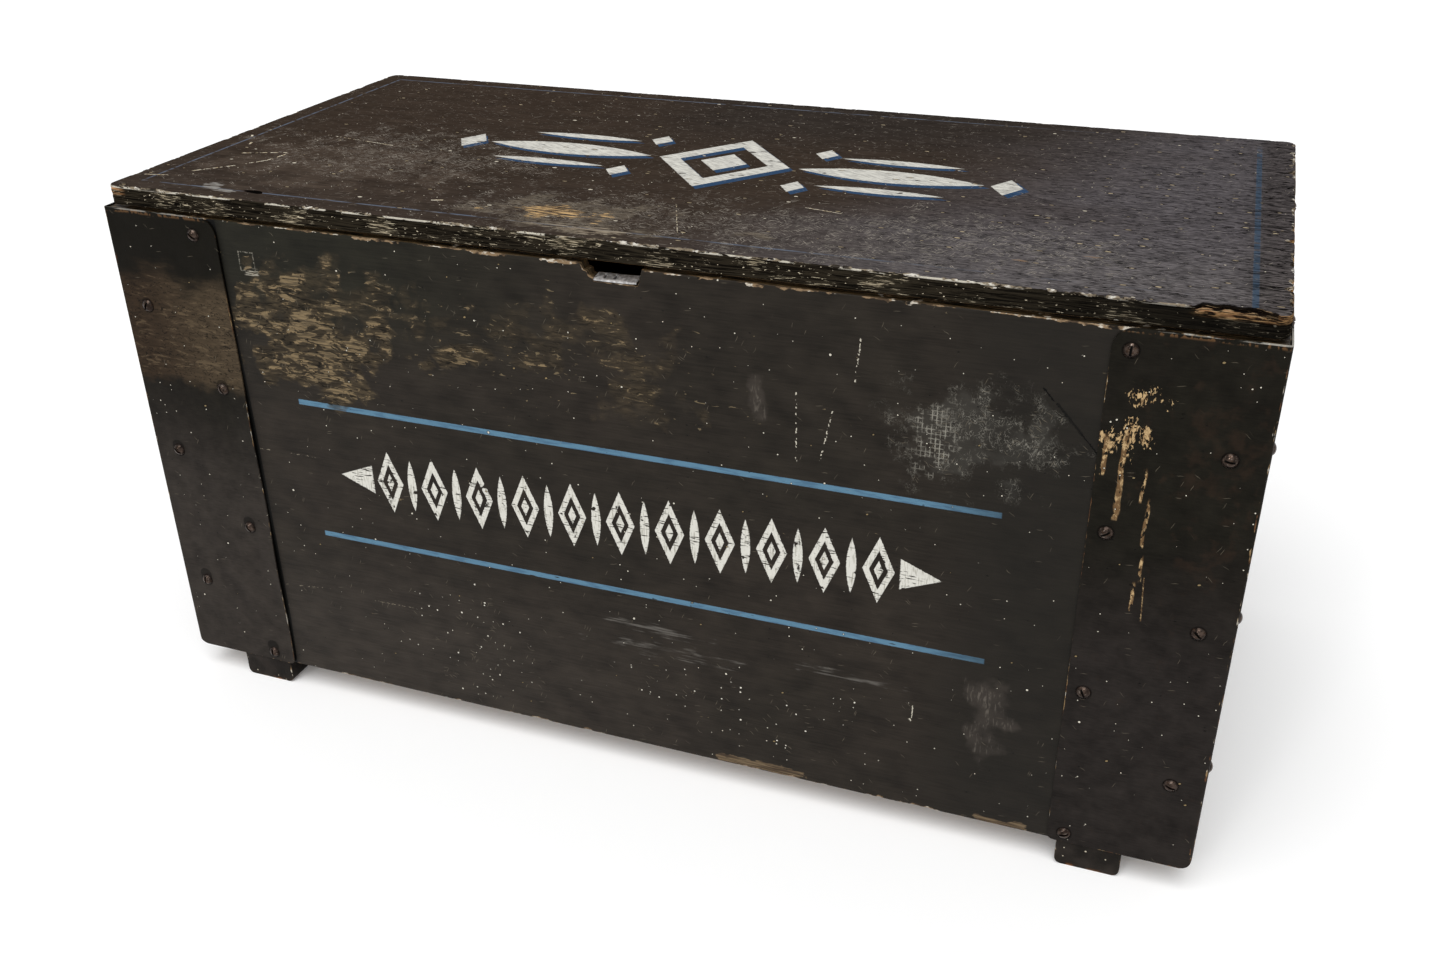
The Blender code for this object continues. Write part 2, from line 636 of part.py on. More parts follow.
def make_hinges(steel, axis):
    """Two butt hinges between the back's top edge and the lid."""
    lower, upper = SEAT_GAP - LID_GAP / 2, LID_GAP / 2 - SEAT_GAP - HINGE_LEAF_THICKNESS
    shoulder = HINGE_LENGTH / 2 + RUNNING_GAP
    top = shoulder + HINGE_PIN_HEAD_HEIGHT
    head, shaft = HINGE_PIN_HEAD_RADIUS, HINGE_PIN_RADIUS
    profile = [(0, top), (head, top), (head, shoulder), (shaft, shoulder), (shaft, -shoulder),
               (head, -shoulder), (head, -top), (0, -top)]
    pin = turned_mesh("hinge_pin", profile, HINGE_SIDES)
    for side, sign in (("left", -1), ("right", 1)):
        place = Vector((sign * (CASE_WIDTH / 2 - HINGE_END_INSET), axis.location.y, axis.location.z))
        make_leaf(f"{side}_hinge_case_leaf", 0, lower, steel, place)
        make_leaf(f"{side}_hinge_lid_leaf", 1, upper, steel, place - axis.location, axis)
        obj = add_object(f"{side}_hinge_pin", pin, steel, place)
        obj.rotation_euler.y = math.pi / 2


def rounded_path(corners, radius, steps):
    """A path through corner points, with an arc of the given radius at each inner one."""
    points = [Vector(corners[0])]
    for before, corner, after in zip(corners, corners[1:], corners[2:]):
        before, corner, after = Vector(before), Vector(corner), Vector(after)
        into, away = (corner - before).normalized(), (after - corner).normalized()
        middle = corner + (away - into) * radius
        for i in range(steps + 1):
            angle = math.pi / 2 * i / steps
            points.append(middle - away * radius * math.cos(angle) + into * radius * math.sin(angle))
    return points + [Vector(corners[-1])]


def handle_base_mesh(name):
    """A handle's base in the frame of its pivot: +X away from the trunk, +Y along the pivot."""
    back = SEAT_GAP - HANDLE_PIVOT_OUT
    face = back + HANDLE_BASE_THICKNESS
    half_length, half_height = HANDLE_BASE_LENGTH / 2, HANDLE_BASE_HEIGHT / 2

    def build_plate(bm):
        cube_into(bm, (back, -half_length, -half_height), (face, half_length, half_height))
        across = [e for e in bm.edges if e.verts[0].co.x != e.verts[1].co.x]
        round_off(bm, across, HANDLE_BASE_ROUND)

    def build_eyes(bm):
        for sign in (-1, 1):
            y = sign * HANDLE_EYE_SPACING / 2
            rod_into(bm, HANDLE_EYE_RADIUS, (0, y - HANDLE_EYE_LENGTH / 2, 0),
                     (0, y + HANDLE_EYE_LENGTH / 2, 0), HANDLE_SIDES)

    sink = HANDLE_BASE_THICKNESS / 2
    profile = [*dome(HANDLE_SCREW_RADIUS, HANDLE_SCREW_HEIGHT, SCREW_DOME_STEPS),
               (HANDLE_SCREW_RADIUS, -sink), (0, -sink)]
    head = turned_mesh(f"{name}_head", profile, SCREW_SIDES)

    def build_heads(bm):
        for sy in (-1, 1):
            for sz in (-1, 1):
                before = set(bm.verts)
                bm.from_mesh(head)
                place = (face, sy * HANDLE_SCREW_SPACING / 2, sz * (half_height - HANDLE_SCREW_INSET))
                outward = Matrix.Translation(place) @ Matrix.Rotation(math.pi / 2, 4, "Y")
                bmesh.ops.transform(bm, matrix=outward, verts=[v for v in bm.verts if v not in before])

    def build_bores(bm):
        reach = HANDLE_BASE_LENGTH
        rod_into(bm, HANDLE_ROD_RADIUS + HANDLE_BORE_CLEARANCE, (0, -reach, 0), (0, reach, 0), HANDLE_SIDES)

    obj = add_cutter(name, mesh_from(name, build_plate))
    boolean(obj, add_cutter(f"{name}_eyes", mesh_from(f"{name}_eyes", build_eyes)), "UNION")
    boolean(obj, add_cutter(f"{name}_heads", mesh_from(f"{name}_heads", build_heads)), "UNION")
    boolean(obj, add_cutter(f"{name}_bores", mesh_from(f"{name}_bores", build_bores)))
    bpy.context.view_layer.update()
    return frozen(obj)


def bail_path():
    """The bail's centre line in the frame of its pivot, hanging down."""
    half, drop = HANDLE_BAIL_WIDTH / 2, HANDLE_BAIL_DROP
    end = HANDLE_EYE_SPACING / 2 - HANDLE_EYE_LENGTH / 2 - HANDLE_END_OVERHANG
    corners = [(0, -end, 0), (0, -half, 0), (0, -half, -drop), (0, half, -drop), (0, half, 0), (0, end, 0)]
    return rounded_path(corners, HANDLE_BEND_RADIUS, HANDLE_BEND_STEPS)


def make_bail(name, finish, place, turn):
    curve = bpy.data.curves.new(name, "CURVE")
    curve.dimensions = "3D"
    curve.bevel_depth = HANDLE_ROD_RADIUS
    curve.bevel_resolution = 2
    curve.use_fill_caps = True
    path = bail_path()
    spline = curve.splines.new("POLY")
    spline.points.add(len(path) - 1)
    for point, co in zip(spline.points, path):
        point.co = (*co, 1)
    curve.materials.append(finish)
    obj = bpy.data.objects.new(name, curve)
    trunk.objects.link(obj)
    obj.location = place
    obj.rotation_euler.z = turn


def make_handles(iron):
    """A drop handle in the middle of each end."""
    base = handle_base_mesh("handle_base")
    z = PANEL_TOP - HANDLE_PIVOT_DROP
    for side, sign, turn in (("left", -1, math.pi), ("right", 1, 0.0)):
        place = (sign * (PANEL_HALF_WIDTH + HANDLE_PIVOT_OUT), CASE_CENTRE_Y, z)
        obj = add_object(f"{side}_handle_base", base, iron, place)
        obj.rotation_euler.z = turn
        make_bail(f"{side}_handle_bail", iron, place, turn)


clear_scene()
trunk = collection("plywood_trunk")
cutters = collection("cutters")
cutters.hide_render = True

painted_ply = material("painted_ply", BLACK_PAINT, 0.55)
bare_ply = material("bare_wood", BARE_WOOD, 0.7)
painted_plate = material("painted_plate", PLATE_PAINT, 0.45)
screw_finish = material("screw_steel", OLD_STEEL, 0.4, 0.8)
keeper_finish = material("keeper_steel", BRIGHT_STEEL, 0.35, 1.0)
iron_finish = material("black_iron", DARK_IRON, 0.5, 0.6)

lid_axis = add_empty("lid_axis", (0, CASE_CENTRE_Y + HINGE_AXIS_BEHIND, HINGE_AXIS_Z))
end_feet = foot_cutters()
corner_frames = make_corners(painted_plate, screw_finish, end_feet)
make_case(painted_ply, bare_ply, corner_frames, end_feet)
make_keeper(keeper_finish)
make_lid(painted_ply, bare_ply, lid_axis)
make_hinges(iron_finish, lid_axis)
make_handles(iron_finish)
bpy.context.view_layer.update()
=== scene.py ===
"""The looks of a worn, black-painted plywood trunk with sheet-steel corner plates.

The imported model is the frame. Each board, plate, screw and handle is modelled here as a worn
piece in its node's place, and every finish is procedural.
"""

import json
import math
from collections import namedtuple
from functools import partial, reduce

import bmesh
import bpy
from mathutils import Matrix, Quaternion, Vector, noise


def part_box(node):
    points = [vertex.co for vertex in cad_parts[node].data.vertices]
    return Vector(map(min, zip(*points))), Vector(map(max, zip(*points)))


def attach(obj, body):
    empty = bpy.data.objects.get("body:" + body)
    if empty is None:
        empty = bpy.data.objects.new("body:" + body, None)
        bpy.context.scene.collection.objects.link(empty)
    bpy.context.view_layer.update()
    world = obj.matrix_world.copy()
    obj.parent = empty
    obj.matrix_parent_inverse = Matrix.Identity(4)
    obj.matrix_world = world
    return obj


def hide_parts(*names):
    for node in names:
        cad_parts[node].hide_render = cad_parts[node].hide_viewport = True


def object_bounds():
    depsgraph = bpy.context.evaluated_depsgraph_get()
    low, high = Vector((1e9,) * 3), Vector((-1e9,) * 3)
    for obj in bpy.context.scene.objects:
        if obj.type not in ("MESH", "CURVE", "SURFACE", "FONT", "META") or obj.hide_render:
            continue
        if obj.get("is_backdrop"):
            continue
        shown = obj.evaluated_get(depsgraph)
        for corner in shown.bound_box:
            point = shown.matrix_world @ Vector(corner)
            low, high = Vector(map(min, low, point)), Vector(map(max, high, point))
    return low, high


bl_info = {
    "name": "Worn Plywood Trunk",
    "version": (1, 0, 0),
    "blender": (4, 5, 0),
    "location": "View3D > Sidebar > Trunk",
    "description": "Models and finishes a worn plywood trunk round its packed frame",
    "category": "Object",
}

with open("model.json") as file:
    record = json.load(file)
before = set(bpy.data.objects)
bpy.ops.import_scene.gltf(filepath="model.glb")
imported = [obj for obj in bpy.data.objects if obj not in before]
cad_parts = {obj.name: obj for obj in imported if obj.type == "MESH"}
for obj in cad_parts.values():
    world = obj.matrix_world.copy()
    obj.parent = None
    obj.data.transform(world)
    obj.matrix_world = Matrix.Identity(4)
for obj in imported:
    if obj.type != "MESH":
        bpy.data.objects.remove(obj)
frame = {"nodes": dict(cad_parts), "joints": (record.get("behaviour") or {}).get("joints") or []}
cad_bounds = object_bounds()

MM = 0.001

# Places taken from the frame. Wear on the case is measured in millimetres from CORNER.
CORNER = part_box("front_left_corner_plate")[0]
CASE_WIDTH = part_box("front_right_corner_plate")[1].x - CORNER.x
PANEL_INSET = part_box("front_panel")[0].y - CORNER.y
CASE_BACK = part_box("back_panel")[1].y + PANEL_INSET
PLATE_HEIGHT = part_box("front_left_corner_plate")[1].z - CORNER.z
LID_LOW, LID_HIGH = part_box("lid_panel")
HINGE_AXIS = Vector(next(j for j in frame["joints"] if j["name"] == "lid_hinge")["pos_m"])
HANDLE_AXIS = Vector(next(j for j in frame["joints"] if j["name"] == "right_bail_swing")["pos_m"])

# Sizes of the wear and of small forms that the frame doesn't give, in metres.
OUTLINE_STEP = 0.0016
FOOT_ROUND = 0.009
LID_ROUND = 0.009
STICK_ROUND = 0.0012
PLATE_LEG = 0.108
PLATE_GRID = 0.0036
PLATE_ROUND = 0.015
PLATE_LOW_ROUND = 0.005
PLATE_SHEET = 0.0012
PLATE_BEND = 0.0022
VENEER = 0.0016
FACE_INSET = 0.0055
BREAK_HEIGHT = 0.0045
BREAK_START, BREAK_END = 853 * MM, 903 * MM
BREAK_DEPTH = 0.0082
NOTCH_SIDE_GAPS = (0.0095, 0.0045)
HANDLE_SHEET = 0.0016
HANDLE_ROUND = 0.010
HANDLE_SCREWS = [(a, b) for a in (-0.020, 0.020) for b in (-0.0102, 0.0102)]
EYE_GAP, EYE_LENGTH = 0.042, 0.010
EYE_BORE, EYE_OUTER = 0.0039, 0.0052

# The camera, as fitted to the photograph.
CAMERA_PLACE = (0.4015, -1.08335, 0.7906)
CAMERA_VIEW = (-0.30722, 0.82662, -0.47150)
CAMERA_ROLL = 0.0106
CAMERA_LENS = 34.59
SENSOR_WIDTH = 36.0

# The studio. The floor and the background look brighter than they light the trunk. Each lamp has a
# direction, a strength and the angle that it spreads over, in degrees.
FLOOR_WIDTH = 28.0
FLOOR_COLOUR = 0.95
FLOOR_LIFT = 0.1
WORLD_LEVEL = 0.46
LAMPS = (("key", (0.02, 0.5, -1.0), 1.85, 45), ("fill", (-0.5, 0.6, -0.6), 0.3, 90),
         ("glint", (0.3, 0.9, -0.5), 0.3, 9))


def srgb(red, green, blue):
    """A linear colour from the three values of a screen colour."""
    return tuple(((c / 255 + 0.055) / 1.055) ** 2.4 if c > 10 else c / 255 / 12.92
                 for c in (red, green, blue))


def colour_property(name, description, *values):
    """A colour that the add-on's panel shows, from its three values on screen."""
    return bpy.props.FloatVectorProperty(name=name, description=description, subtype="COLOR",
                                         default=srgb(*values))


def length_property(name, description, metres):
    """A length that the add-on's panel shows."""
    return bpy.props.FloatProperty(name=name, description=description, unit="LENGTH", default=metres)


class TrunkLooks(bpy.types.PropertyGroup):
    """Colours and sizes of the trunk's finish."""

    lid_paint: colour_property("Lid paint", "The lid's brown-black paint", 56, 47, 40)
    # The lid's bluish right part is a painted sheen: a reflection painted into its colour.
    lid_faded: colour_property("Faded lid paint", "The bluish paint of its right part", 80, 76, 78)
    case_paint: colour_property("Case paint", "The black paint of the boards", 36, 32, 27)
    plate_paint: colour_property("Plate paint", "The black paint of the corner plates", 25, 23, 18)
    line_paint: colour_property("Line paint", "The blue of the painted lines", 88, 124, 147)
    ornament_paint: colour_property("Ornament paint", "The off-white of the ornaments", 214, 212, 203)
    shade_paint: colour_property("Shade paint", "The blue shade of the lid's ornament", 47, 72, 102)
    bare_wood: colour_property("Bare wood", "Wood where paint never was", 158, 126, 88)
    screw_radius: length_property("Screw head radius", "Radius of a plate screw's head", 0.0055)
    screw_height: length_property("Screw head height", "Height of a plate screw's head", 0.0034)
    chip_depth: length_property("Chip depth", "How far the deepest chips reach in from an edge", 0.0014)
    plate_lift: length_property("Plate lift", "How far the left plate's edge stands off its panel", 0.0022)


def looks():
    """The trunk's looks, as the scene has them."""
    return bpy.context.scene.trunk_looks


# Node helpers.


def plug(tree, socket, value):
    """Links a socket to a number or another socket, or sets its value."""
    value = getattr(value, "socket", value)
    if isinstance(value, bpy.types.NodeSocket):
        tree.links.new(value, socket)
    elif value is not None:
        socket.default_value = value


def add_node(tree, kind, settings=None, *values, **named):
    """Adds a node, with its settings first and then its sockets, in their order or by name."""
    made = tree.nodes.new(kind)
    for key, value in (settings or {}).items():
        setattr(made, key, value)
    for key, value in [*enumerate(values), *named.items()]:
        plug(tree, made.inputs[key if isinstance(key, int) else key.replace("_", " ")], value)
    return made


class Number:
    """A shader socket that carries a number. Arithmetic on it adds Math nodes."""

    def __init__(self, finish, socket):
        self.finish = finish
        self.socket = socket

    def maths(self, operation, *values):
        """Adds one Math node."""
        return self.finish.number("ShaderNodeMath", {"operation": operation}, *values)

    def __add__(self, other):
        return self.maths("ADD", self, other)

    def __sub__(self, other):
        return self.maths("SUBTRACT", self, other)

    def __rsub__(self, other):
        return self.maths("SUBTRACT", other, self)

    def __mul__(self, other):
        return self.maths("MULTIPLY", self, other)

    def __truediv__(self, other):
        return self.maths("DIVIDE", self, other)

    def __abs__(self):
        return self.maths("ABSOLUTE", self)

    def __pow__(self, other):
        return self.maths("POWER", self, other)

    __radd__ = __add__
    __rmul__ = __mul__

    def most(self, other):
        return self.maths("MAXIMUM", self, other)

    def least(self, other):
        return self.maths("MINIMUM", self, other)

    def ramp(self, low, high):
        """0 below low and 1 above high, or the other way round where low is the larger."""
        return self.finish.number("ShaderNodeMapRange", {"interpolation_type": "SMOOTHSTEP"}, self, low, high)

    def repeat(self, pitch):
        """The distance from the nearest whole number of pitches."""
        return self - self.maths("ROUND", self / pitch) * pitch


def most(numbers):
    """The largest of several numbers at each point."""
    return reduce(Number.most, numbers)


class Finish:
    """Builds one procedural material. Each node comes from node().

    x, y and z are millimetres from CORNER. u and v are those that run along the faces it is made for.
    """

    def __init__(self, name, faces="round"):
        self.material = bpy.data.materials.new(name)
        self.material.use_nodes = True
        self.tree = self.material.node_tree
        self.node = partial(add_node, self.tree)
        self.place = self.node("ShaderNodeTexCoord").outputs["Object"]
        apart = self.node("ShaderNodeSeparateXYZ", None, self.place)
        self.x, self.y, self.z = (
            (Number(self, apart.outputs[i]) - CORNER[i]) * (1 / MM) for i in range(3))
        self.u = self.x + self.y if faces == "round" else self.x
        self.v = self.y if faces == "top" else self.z
        self.rag = self.noise(1.6, 3, seed=90) - 0.5
        self.bend = self.noise(9, 2, seed=91) * 5
        self.sway = [(self.noise(24, 5, seed=92 + i) - 0.5) * 2.6 for i in range(2)]
        self.base = None

    def number(self, kind, settings, *values, output=0, **named):
        """Adds a node and gives one of its outputs as a Number."""
        return Number(self, self.node(kind, settings, *values, **named).outputs[output])

    def noise(self, size, detail=2.0, stretch=(1, 1, 1), turn=(0, 0, 0), seed=0, warp=0.0):
        """Noise with features of about that size in millimetres, longer along an axis by its stretch."""
        turned = self.node("ShaderNodeMapping", None, self.place, Rotation=[math.radians(a) for a in turn])
        place = self.node("ShaderNodeMapping", None, turned.outputs[0], Scale=[1 / s for s in stretch],
                          Location=(seed * 1.7, seed * 0.9, seed * 2.3)).outputs[0]
        return self.number("ShaderNodeTexNoise", None, Vector=place, Scale=1 / (size * MM), Detail=detail,
                           Distortion=warp)

    def cells(self, size, aspect=1, turn=0, seed=0):
        """(distance in mm, random number) for flat cells, aspect times longer along a turned u."""
        cos, sin = math.cos(math.radians(turn)), math.sin(math.radians(turn))
        u, v = (self.u + self.bend, self.v + self.bend * 0.6) if aspect > 4 else (self.u, self.v)
        along = (u * cos + v * sin) * (1 / (size * aspect)) + seed * 17.3
        across = (v * cos - u * sin) * (1 / size)
        flat = self.node("ShaderNodeCombineXYZ", None, along, across).outputs[0]
        made = self.node("ShaderNodeTexVoronoi", {"voronoi_dimensions": "2D"}, Vector=flat, Scale=1.0)
        chance = self.node("ShaderNodeSeparateColor", None, made.outputs["Color"]).outputs[0]
        return Number(self, made.outputs["Distance"]) * size, Number(self, chance)

    def veins(self, size, width, stretch=(1, 1, 1), seed=0, warp=0.5):
        """Thin winding lines."""
        return abs(self.noise(size, 2, stretch, seed=seed, warp=warp) - 0.5).ramp(width, width * 0.35)

    def spots(self, size, reach, share, aspect=1, turn=0, seed=0):
        """Scattered ragged spots and the wider ring round each.

        reach is the largest half width, and share the part of the cells that have a spot.
        """
        distance, chance = self.cells(size, aspect, turn, seed)
        over = chance - (1 - share)
        limit = (over / share * 0.6 + 0.4) * reach + self.rag * (reach * 0.9)
        has = over.ramp(0, 0.001)
        ring = (limit * 1.5 + 0.3 - distance).ramp(0, reach * 0.6) * has
        return (limit - distance).ramp(0, reach * 0.3) * has, ring

    def hairs(self, size, width, share, turns=(6, -38, 68), seed=0, aspect=14):
        """Short fine scratches. share is the part of the cells that have one, and may vary."""
        cells = (self.cells(size, aspect, turn, seed + i) for i, turn in enumerate(turns))
        return most(distance.ramp(width, width * 0.35) * (chance - (1 - share)).ramp(0, 0.02)
                    for distance, chance in cells)

    def line(self, u0, v0, u1, v1, width):
        """1 along a straight scratch from one place to the other."""
        length = math.hypot(u1 - u0, v1 - v0)
        du, dv = (u1 - u0) / length, (v1 - v0) / length
        u, v = self.u - u0, self.v - v0
        along, across = u * du + v * dv, v * du - u * dv
        body = (width / 2 - abs(across + self.rag * 2.4)).ramp(-0.1, 0.3)
        return body * abs(along - length / 2).ramp(length / 2 + 0.3, length / 2 - 0.3)

    def lines(self, *places):
        """The same along several scratches."""
        return most(self.line(*place) for place in places)

    def oval(self, centre, radii, soft=0.6):
        """1 inside a patch of about that size and 0 outside it, soft by a share of its radius."""
        across, up = (((place - middle) * (1 / radius) + sway) ** 2 for place, middle, radius, sway in zip(
            (self.u, self.v), centre, radii, self.sway))
        return (across + up).ramp(1, 1 - soft)

    def ovals(self, places, soft=0.6):
        """The same for several patches."""
        return most(self.oval(centre, radii, soft) for centre, radii in places)

    def mix(self, factor, below, above):
        """One colour over another. Each is a socket, one of the looks or three values on screen."""
        made = self.node("ShaderNodeMix", {"data_type": "RGBA"}, factor)
        for socket, colour in ((made.inputs[6], below), (made.inputs[7], above)):
            if isinstance(colour, tuple):
                colour = (*srgb(*colour), 1)
            plug(self.tree, socket, colour)
        return made.outputs[2]

    def coat(self, factor, *colour):
        """Lays a colour over what the finish has so far."""
        self.base = self.mix(factor, self.base, colour if len(colour) == 3 else colour[0])

    def lit(self, colour, share):
        """A colour times a number."""
        return self.node("ShaderNodeVectorMath", {"operation": "SCALE"}, colour, Scale=share).outputs[0]

    def bare(self):
        """How far the edge wear that was modelled with the piece reaches."""
        return self.number("ShaderNodeAttribute", {"attribute_name": "bare"}, output="Fac")

    def done(self, roughness, height, metallic=0.0, specular=0.05):
        """Sets the shader's inputs. height is in millimetres."""
        bump = self.node("ShaderNodeBump", None, Strength=1.0, Distance=MM, Height=height).outputs[0]
        sockets = self.tree.nodes["Principled BSDF"].inputs
        for name, value in (("Base Color", self.base), ("Roughness", roughness), ("Metallic", metallic),
                            ("Specular IOR Level", specular), ("Normal", bump)):
            plug(self.tree, sockets[name], value)
        return self.material


def colour(name):
    """One of the looks' colours, with its alpha."""
    return [*getattr(looks(), name), 1]


# Finishes.

LID_TOP = (LID_HIGH.z - CORNER.z) / MM
LID_THICK = (LID_HIGH.z - LID_LOW.z) / MM
LID_LEFT, LID_RIGHT = (LID_LOW.x - CORNER.x) / MM, (LID_HIGH.x - CORNER.x) / MM
LID_FRONT, LID_BACK = (LID_LOW.y - CORNER.y) / MM, (LID_HIGH.y - CORNER.y) / MM
PLATE_EDGE = (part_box("front_left_corner_plate")[1].x - CORNER.x) / MM
PLATE_TOP = PLATE_HEIGHT / MM
PANEL_FACE = PANEL_INSET / MM
WALL = (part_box("front_panel")[1].y - CORNER.y) / MM


def lozenge(s, t, width, height):
    """0 in the middle of a lozenge, 1 on its outline."""
    return abs(s) * (1 / width) + abs(t) * (1 / height)


def swelled(s, t, start, end, thick):
    """A rule from start to end on both sides of the middle, thickest halfway."""
    middle, half = (start + end) / 2, (end - start) / 2
    body = (1 - ((abs(s) - middle) * (1 / half)) ** 2) * thick
    return (body - abs(t)).ramp(-0.25, 0.35)


def lid_ornament(s, t):
    """A lozenge between swelled rules, with smaller ones beside them."""
    big = lozenge(s, t, 58, 74)
    ring = abs(big - 0.84).ramp(0.17, 0.155)
    kernel = big.ramp(0.36, 0.345)
    ends = lozenge(abs(s) - 238, t, 13, 22).ramp(1.02, 0.96)
    buds = lozenge(abs(s) - 76, abs(t) - 50, 10, 15).ramp(1.02, 0.96)
    rules = swelled(s, t, 66, 220, 17).most(swelled(s, abs(t) - 42, 92, 196, 6.5))
    return ring.most(kernel).most(ends).most(buds).most(rules)


def front_ornament(s, t):
    """A row of hollow lozenges and spindles between two darts."""
    pitch = 42.0
    inside = abs(s).ramp(5 * pitch + 13, 5 * pitch + 12)
    ring_at = lozenge(s.repeat(pitch), t, 12.5, 29)
    ring = abs(ring_at - 0.79).ramp(0.22, 0.18).most(ring_at.ramp(0.3, 0.26))
    aside = (s + pitch / 2).repeat(pitch)
    spindle = ((1 - (t * (1 / 24)) ** 2) * 3.9 - abs(aside)).ramp(-0.25, 0.35)
    dart = ((258 - abs(s)) * 0.42 - abs(t)).ramp(-0.3, 0.4) * abs(s).ramp(226, 227)
    return (ring.most(spindle) * inside).most(dart)


def lid_lines(f, wear):
    """The border line near the lid's edges: (mask, colour), widest and clearest at the right."""
    u, v = f.u, f.v
    inset = (u - LID_LEFT).least((v - LID_FRONT).least(LID_BACK - v))
    mask = (f.rag * 0.8 + 1.1 - abs(inset - 20.5)).ramp(-0.3, 0.3) * u.ramp(LID_RIGHT - 50, LID_RIGHT - 80)
    fresh = u.ramp(760, 560) * wear.ramp(0.66, 0.54) * 0.7 + wear.ramp(0.56, 0.4) * 0.3
    aside = (f.rag * 0.8 + 2.1 - abs(LID_RIGHT - 22.5 - v * 0.016 - u)).ramp(-0.3, 0.3)
    aside = aside * v.ramp(LID_BACK - 16, LID_BACK - 60) * v.ramp(7, 9) * wear.ramp(0.72, 0.55) * 0.85
    return (mask * fresh).most(aside), f.mix(aside, (90, 97, 110), (54, 73, 92))


def lid_scars(f, rightness):
    """Scratches, specks, flecks, scuffs and pits of the lid's top: their height in mm."""
    busy = f.ovals([((545, 66), (150, 62)), ((690, 84), (130, 74)), ((400, 60), (110, 60)),
                    ((190, 160), (150, 90))], 0.9)
    hair = f.hairs(1.7, 0.30, busy * 0.42 + 0.035, seed=1)
    f.coat(hair * 0.7, 166, 158, 146)
    fine_hair = f.hairs(1.1, 0.22, busy * 0.5 + 0.08, (14, -60, 50, -16), seed=5, aspect=9)
    f.coat(fine_hair * 0.4, 150, 144, 136)
    nick, nick_dark = f.spots(6, 0.8, 0.05, 3.2, 4, seed=10)
    f.coat(nick_dark * 0.7, 22, 18, 15)
    f.coat(nick, 166, 150, 122)
    fleck, pit = f.spots(8, 1.0, rightness * 0.085 + 0.02, 2.6, -3, seed=11)
    f.coat(pit * 0.85, 16, 13, 11)
    f.coat(fleck, 184, 168, 140)
    dot, dot_ring = f.spots(12, 0.75, 0.12, seed=12)
    big, big_ring = f.spots(34, 1.5, 0.2, 1.6, seed=13)
    f.coat(dot_ring.most(big_ring) * 0.5, 24, 20, 18)
    f.coat(dot.most(big) * 0.95, 205, 196, 178)

    torn = f.noise(1.6, 5, (9, 1, 1), seed=19, warp=0.6)
    gaps = f.noise(4, 1, seed=17).ramp(0.44, 0.49)
    broken = f.lines((50, 119, 88, 133, 1.7), (45, 58, 70, 84, 1.7), (70, 84, 86, 106, 1.6),
                     (86, 106, 90, 130, 1.6), (14, 38, 36, 42, 1.6), (87, 195, 163, 182, 1.0),
                     (466, 98, 492, 35, 0.8))
    whole = f.lines((562, 122, 592, 116, 1.1), (556, 234, 591, 239, 0.8), (280, 49, 289, 52, 2.2),
                    (20, 174, 23, 170, 2.2), (36, 152, 38, 146, 2.2))
    dashes = (broken * gaps).most(whole)
    f.coat(dashes, f.mix(torn.ramp(0.4, 0.6), (178, 160, 128), (216, 208, 190)))

    dust = (f.ovals([((99, 21), (32, 7)), ((90, 28), (14, 13))], 0.98) * 0.34 + torn).ramp(0.72, 0.9)
    f.coat(dust * 0.8, 150, 147, 142)
    smoky = f.ovals([((392, 58), (86, 50)), ((420, 22), (84, 20)), ((545, 47), (26, 10))], 0.95)
    smoke = (smoky * 0.4 + torn).ramp(0.7, 1.0)
    f.coat(smoke * 0.6, 122, 112, 98)
    f.coat(f.veins(3, 0.03, (7, 1, 1), 18, 0.9) * smoky * 0.75, 34, 28, 23)
    tan = (f.oval((384, 52), (48, 21), 0.98) * 0.3 + torn).ramp(0.76, 0.81)
    f.coat(tan * 0.92, f.mix(torn.ramp(0.45, 0.62), (128, 100, 68), (200, 166, 118)))
    grey = (f.oval((424, 20), (50, 13), 0.98) * 0.3 + torn).ramp(0.74, 0.8)
    f.coat(grey * 0.85, f.mix(torn.ramp(0.45, 0.62), (112, 96, 80), (158, 146, 128)))
    rusty = f.ovals([((738, 53), (9, 4)), ((778, 76), (9, 3))], 0.9)
    f.coat((rusty * 0.4 + torn).ramp(0.84, 0.92) * 0.8, 132, 108, 86)
    # The gouge's near-black is painted shade in its hollow.
    gouge = (f.oval((135, 23), (11, 3.6), 0.4) + f.rag * 0.9).ramp(0.25, 0.5)
    f.coat(gouge, 8, 7, 6)
    height = fleck * 0.15 - pit * 0.5 - dashes * 0.1 - hair * 0.05 - tan * 0.3 - grey * 0.15 - gouge * 1.6
    return height + dot * 0.1 + nick * 0.1 - nick_dark * 0.2


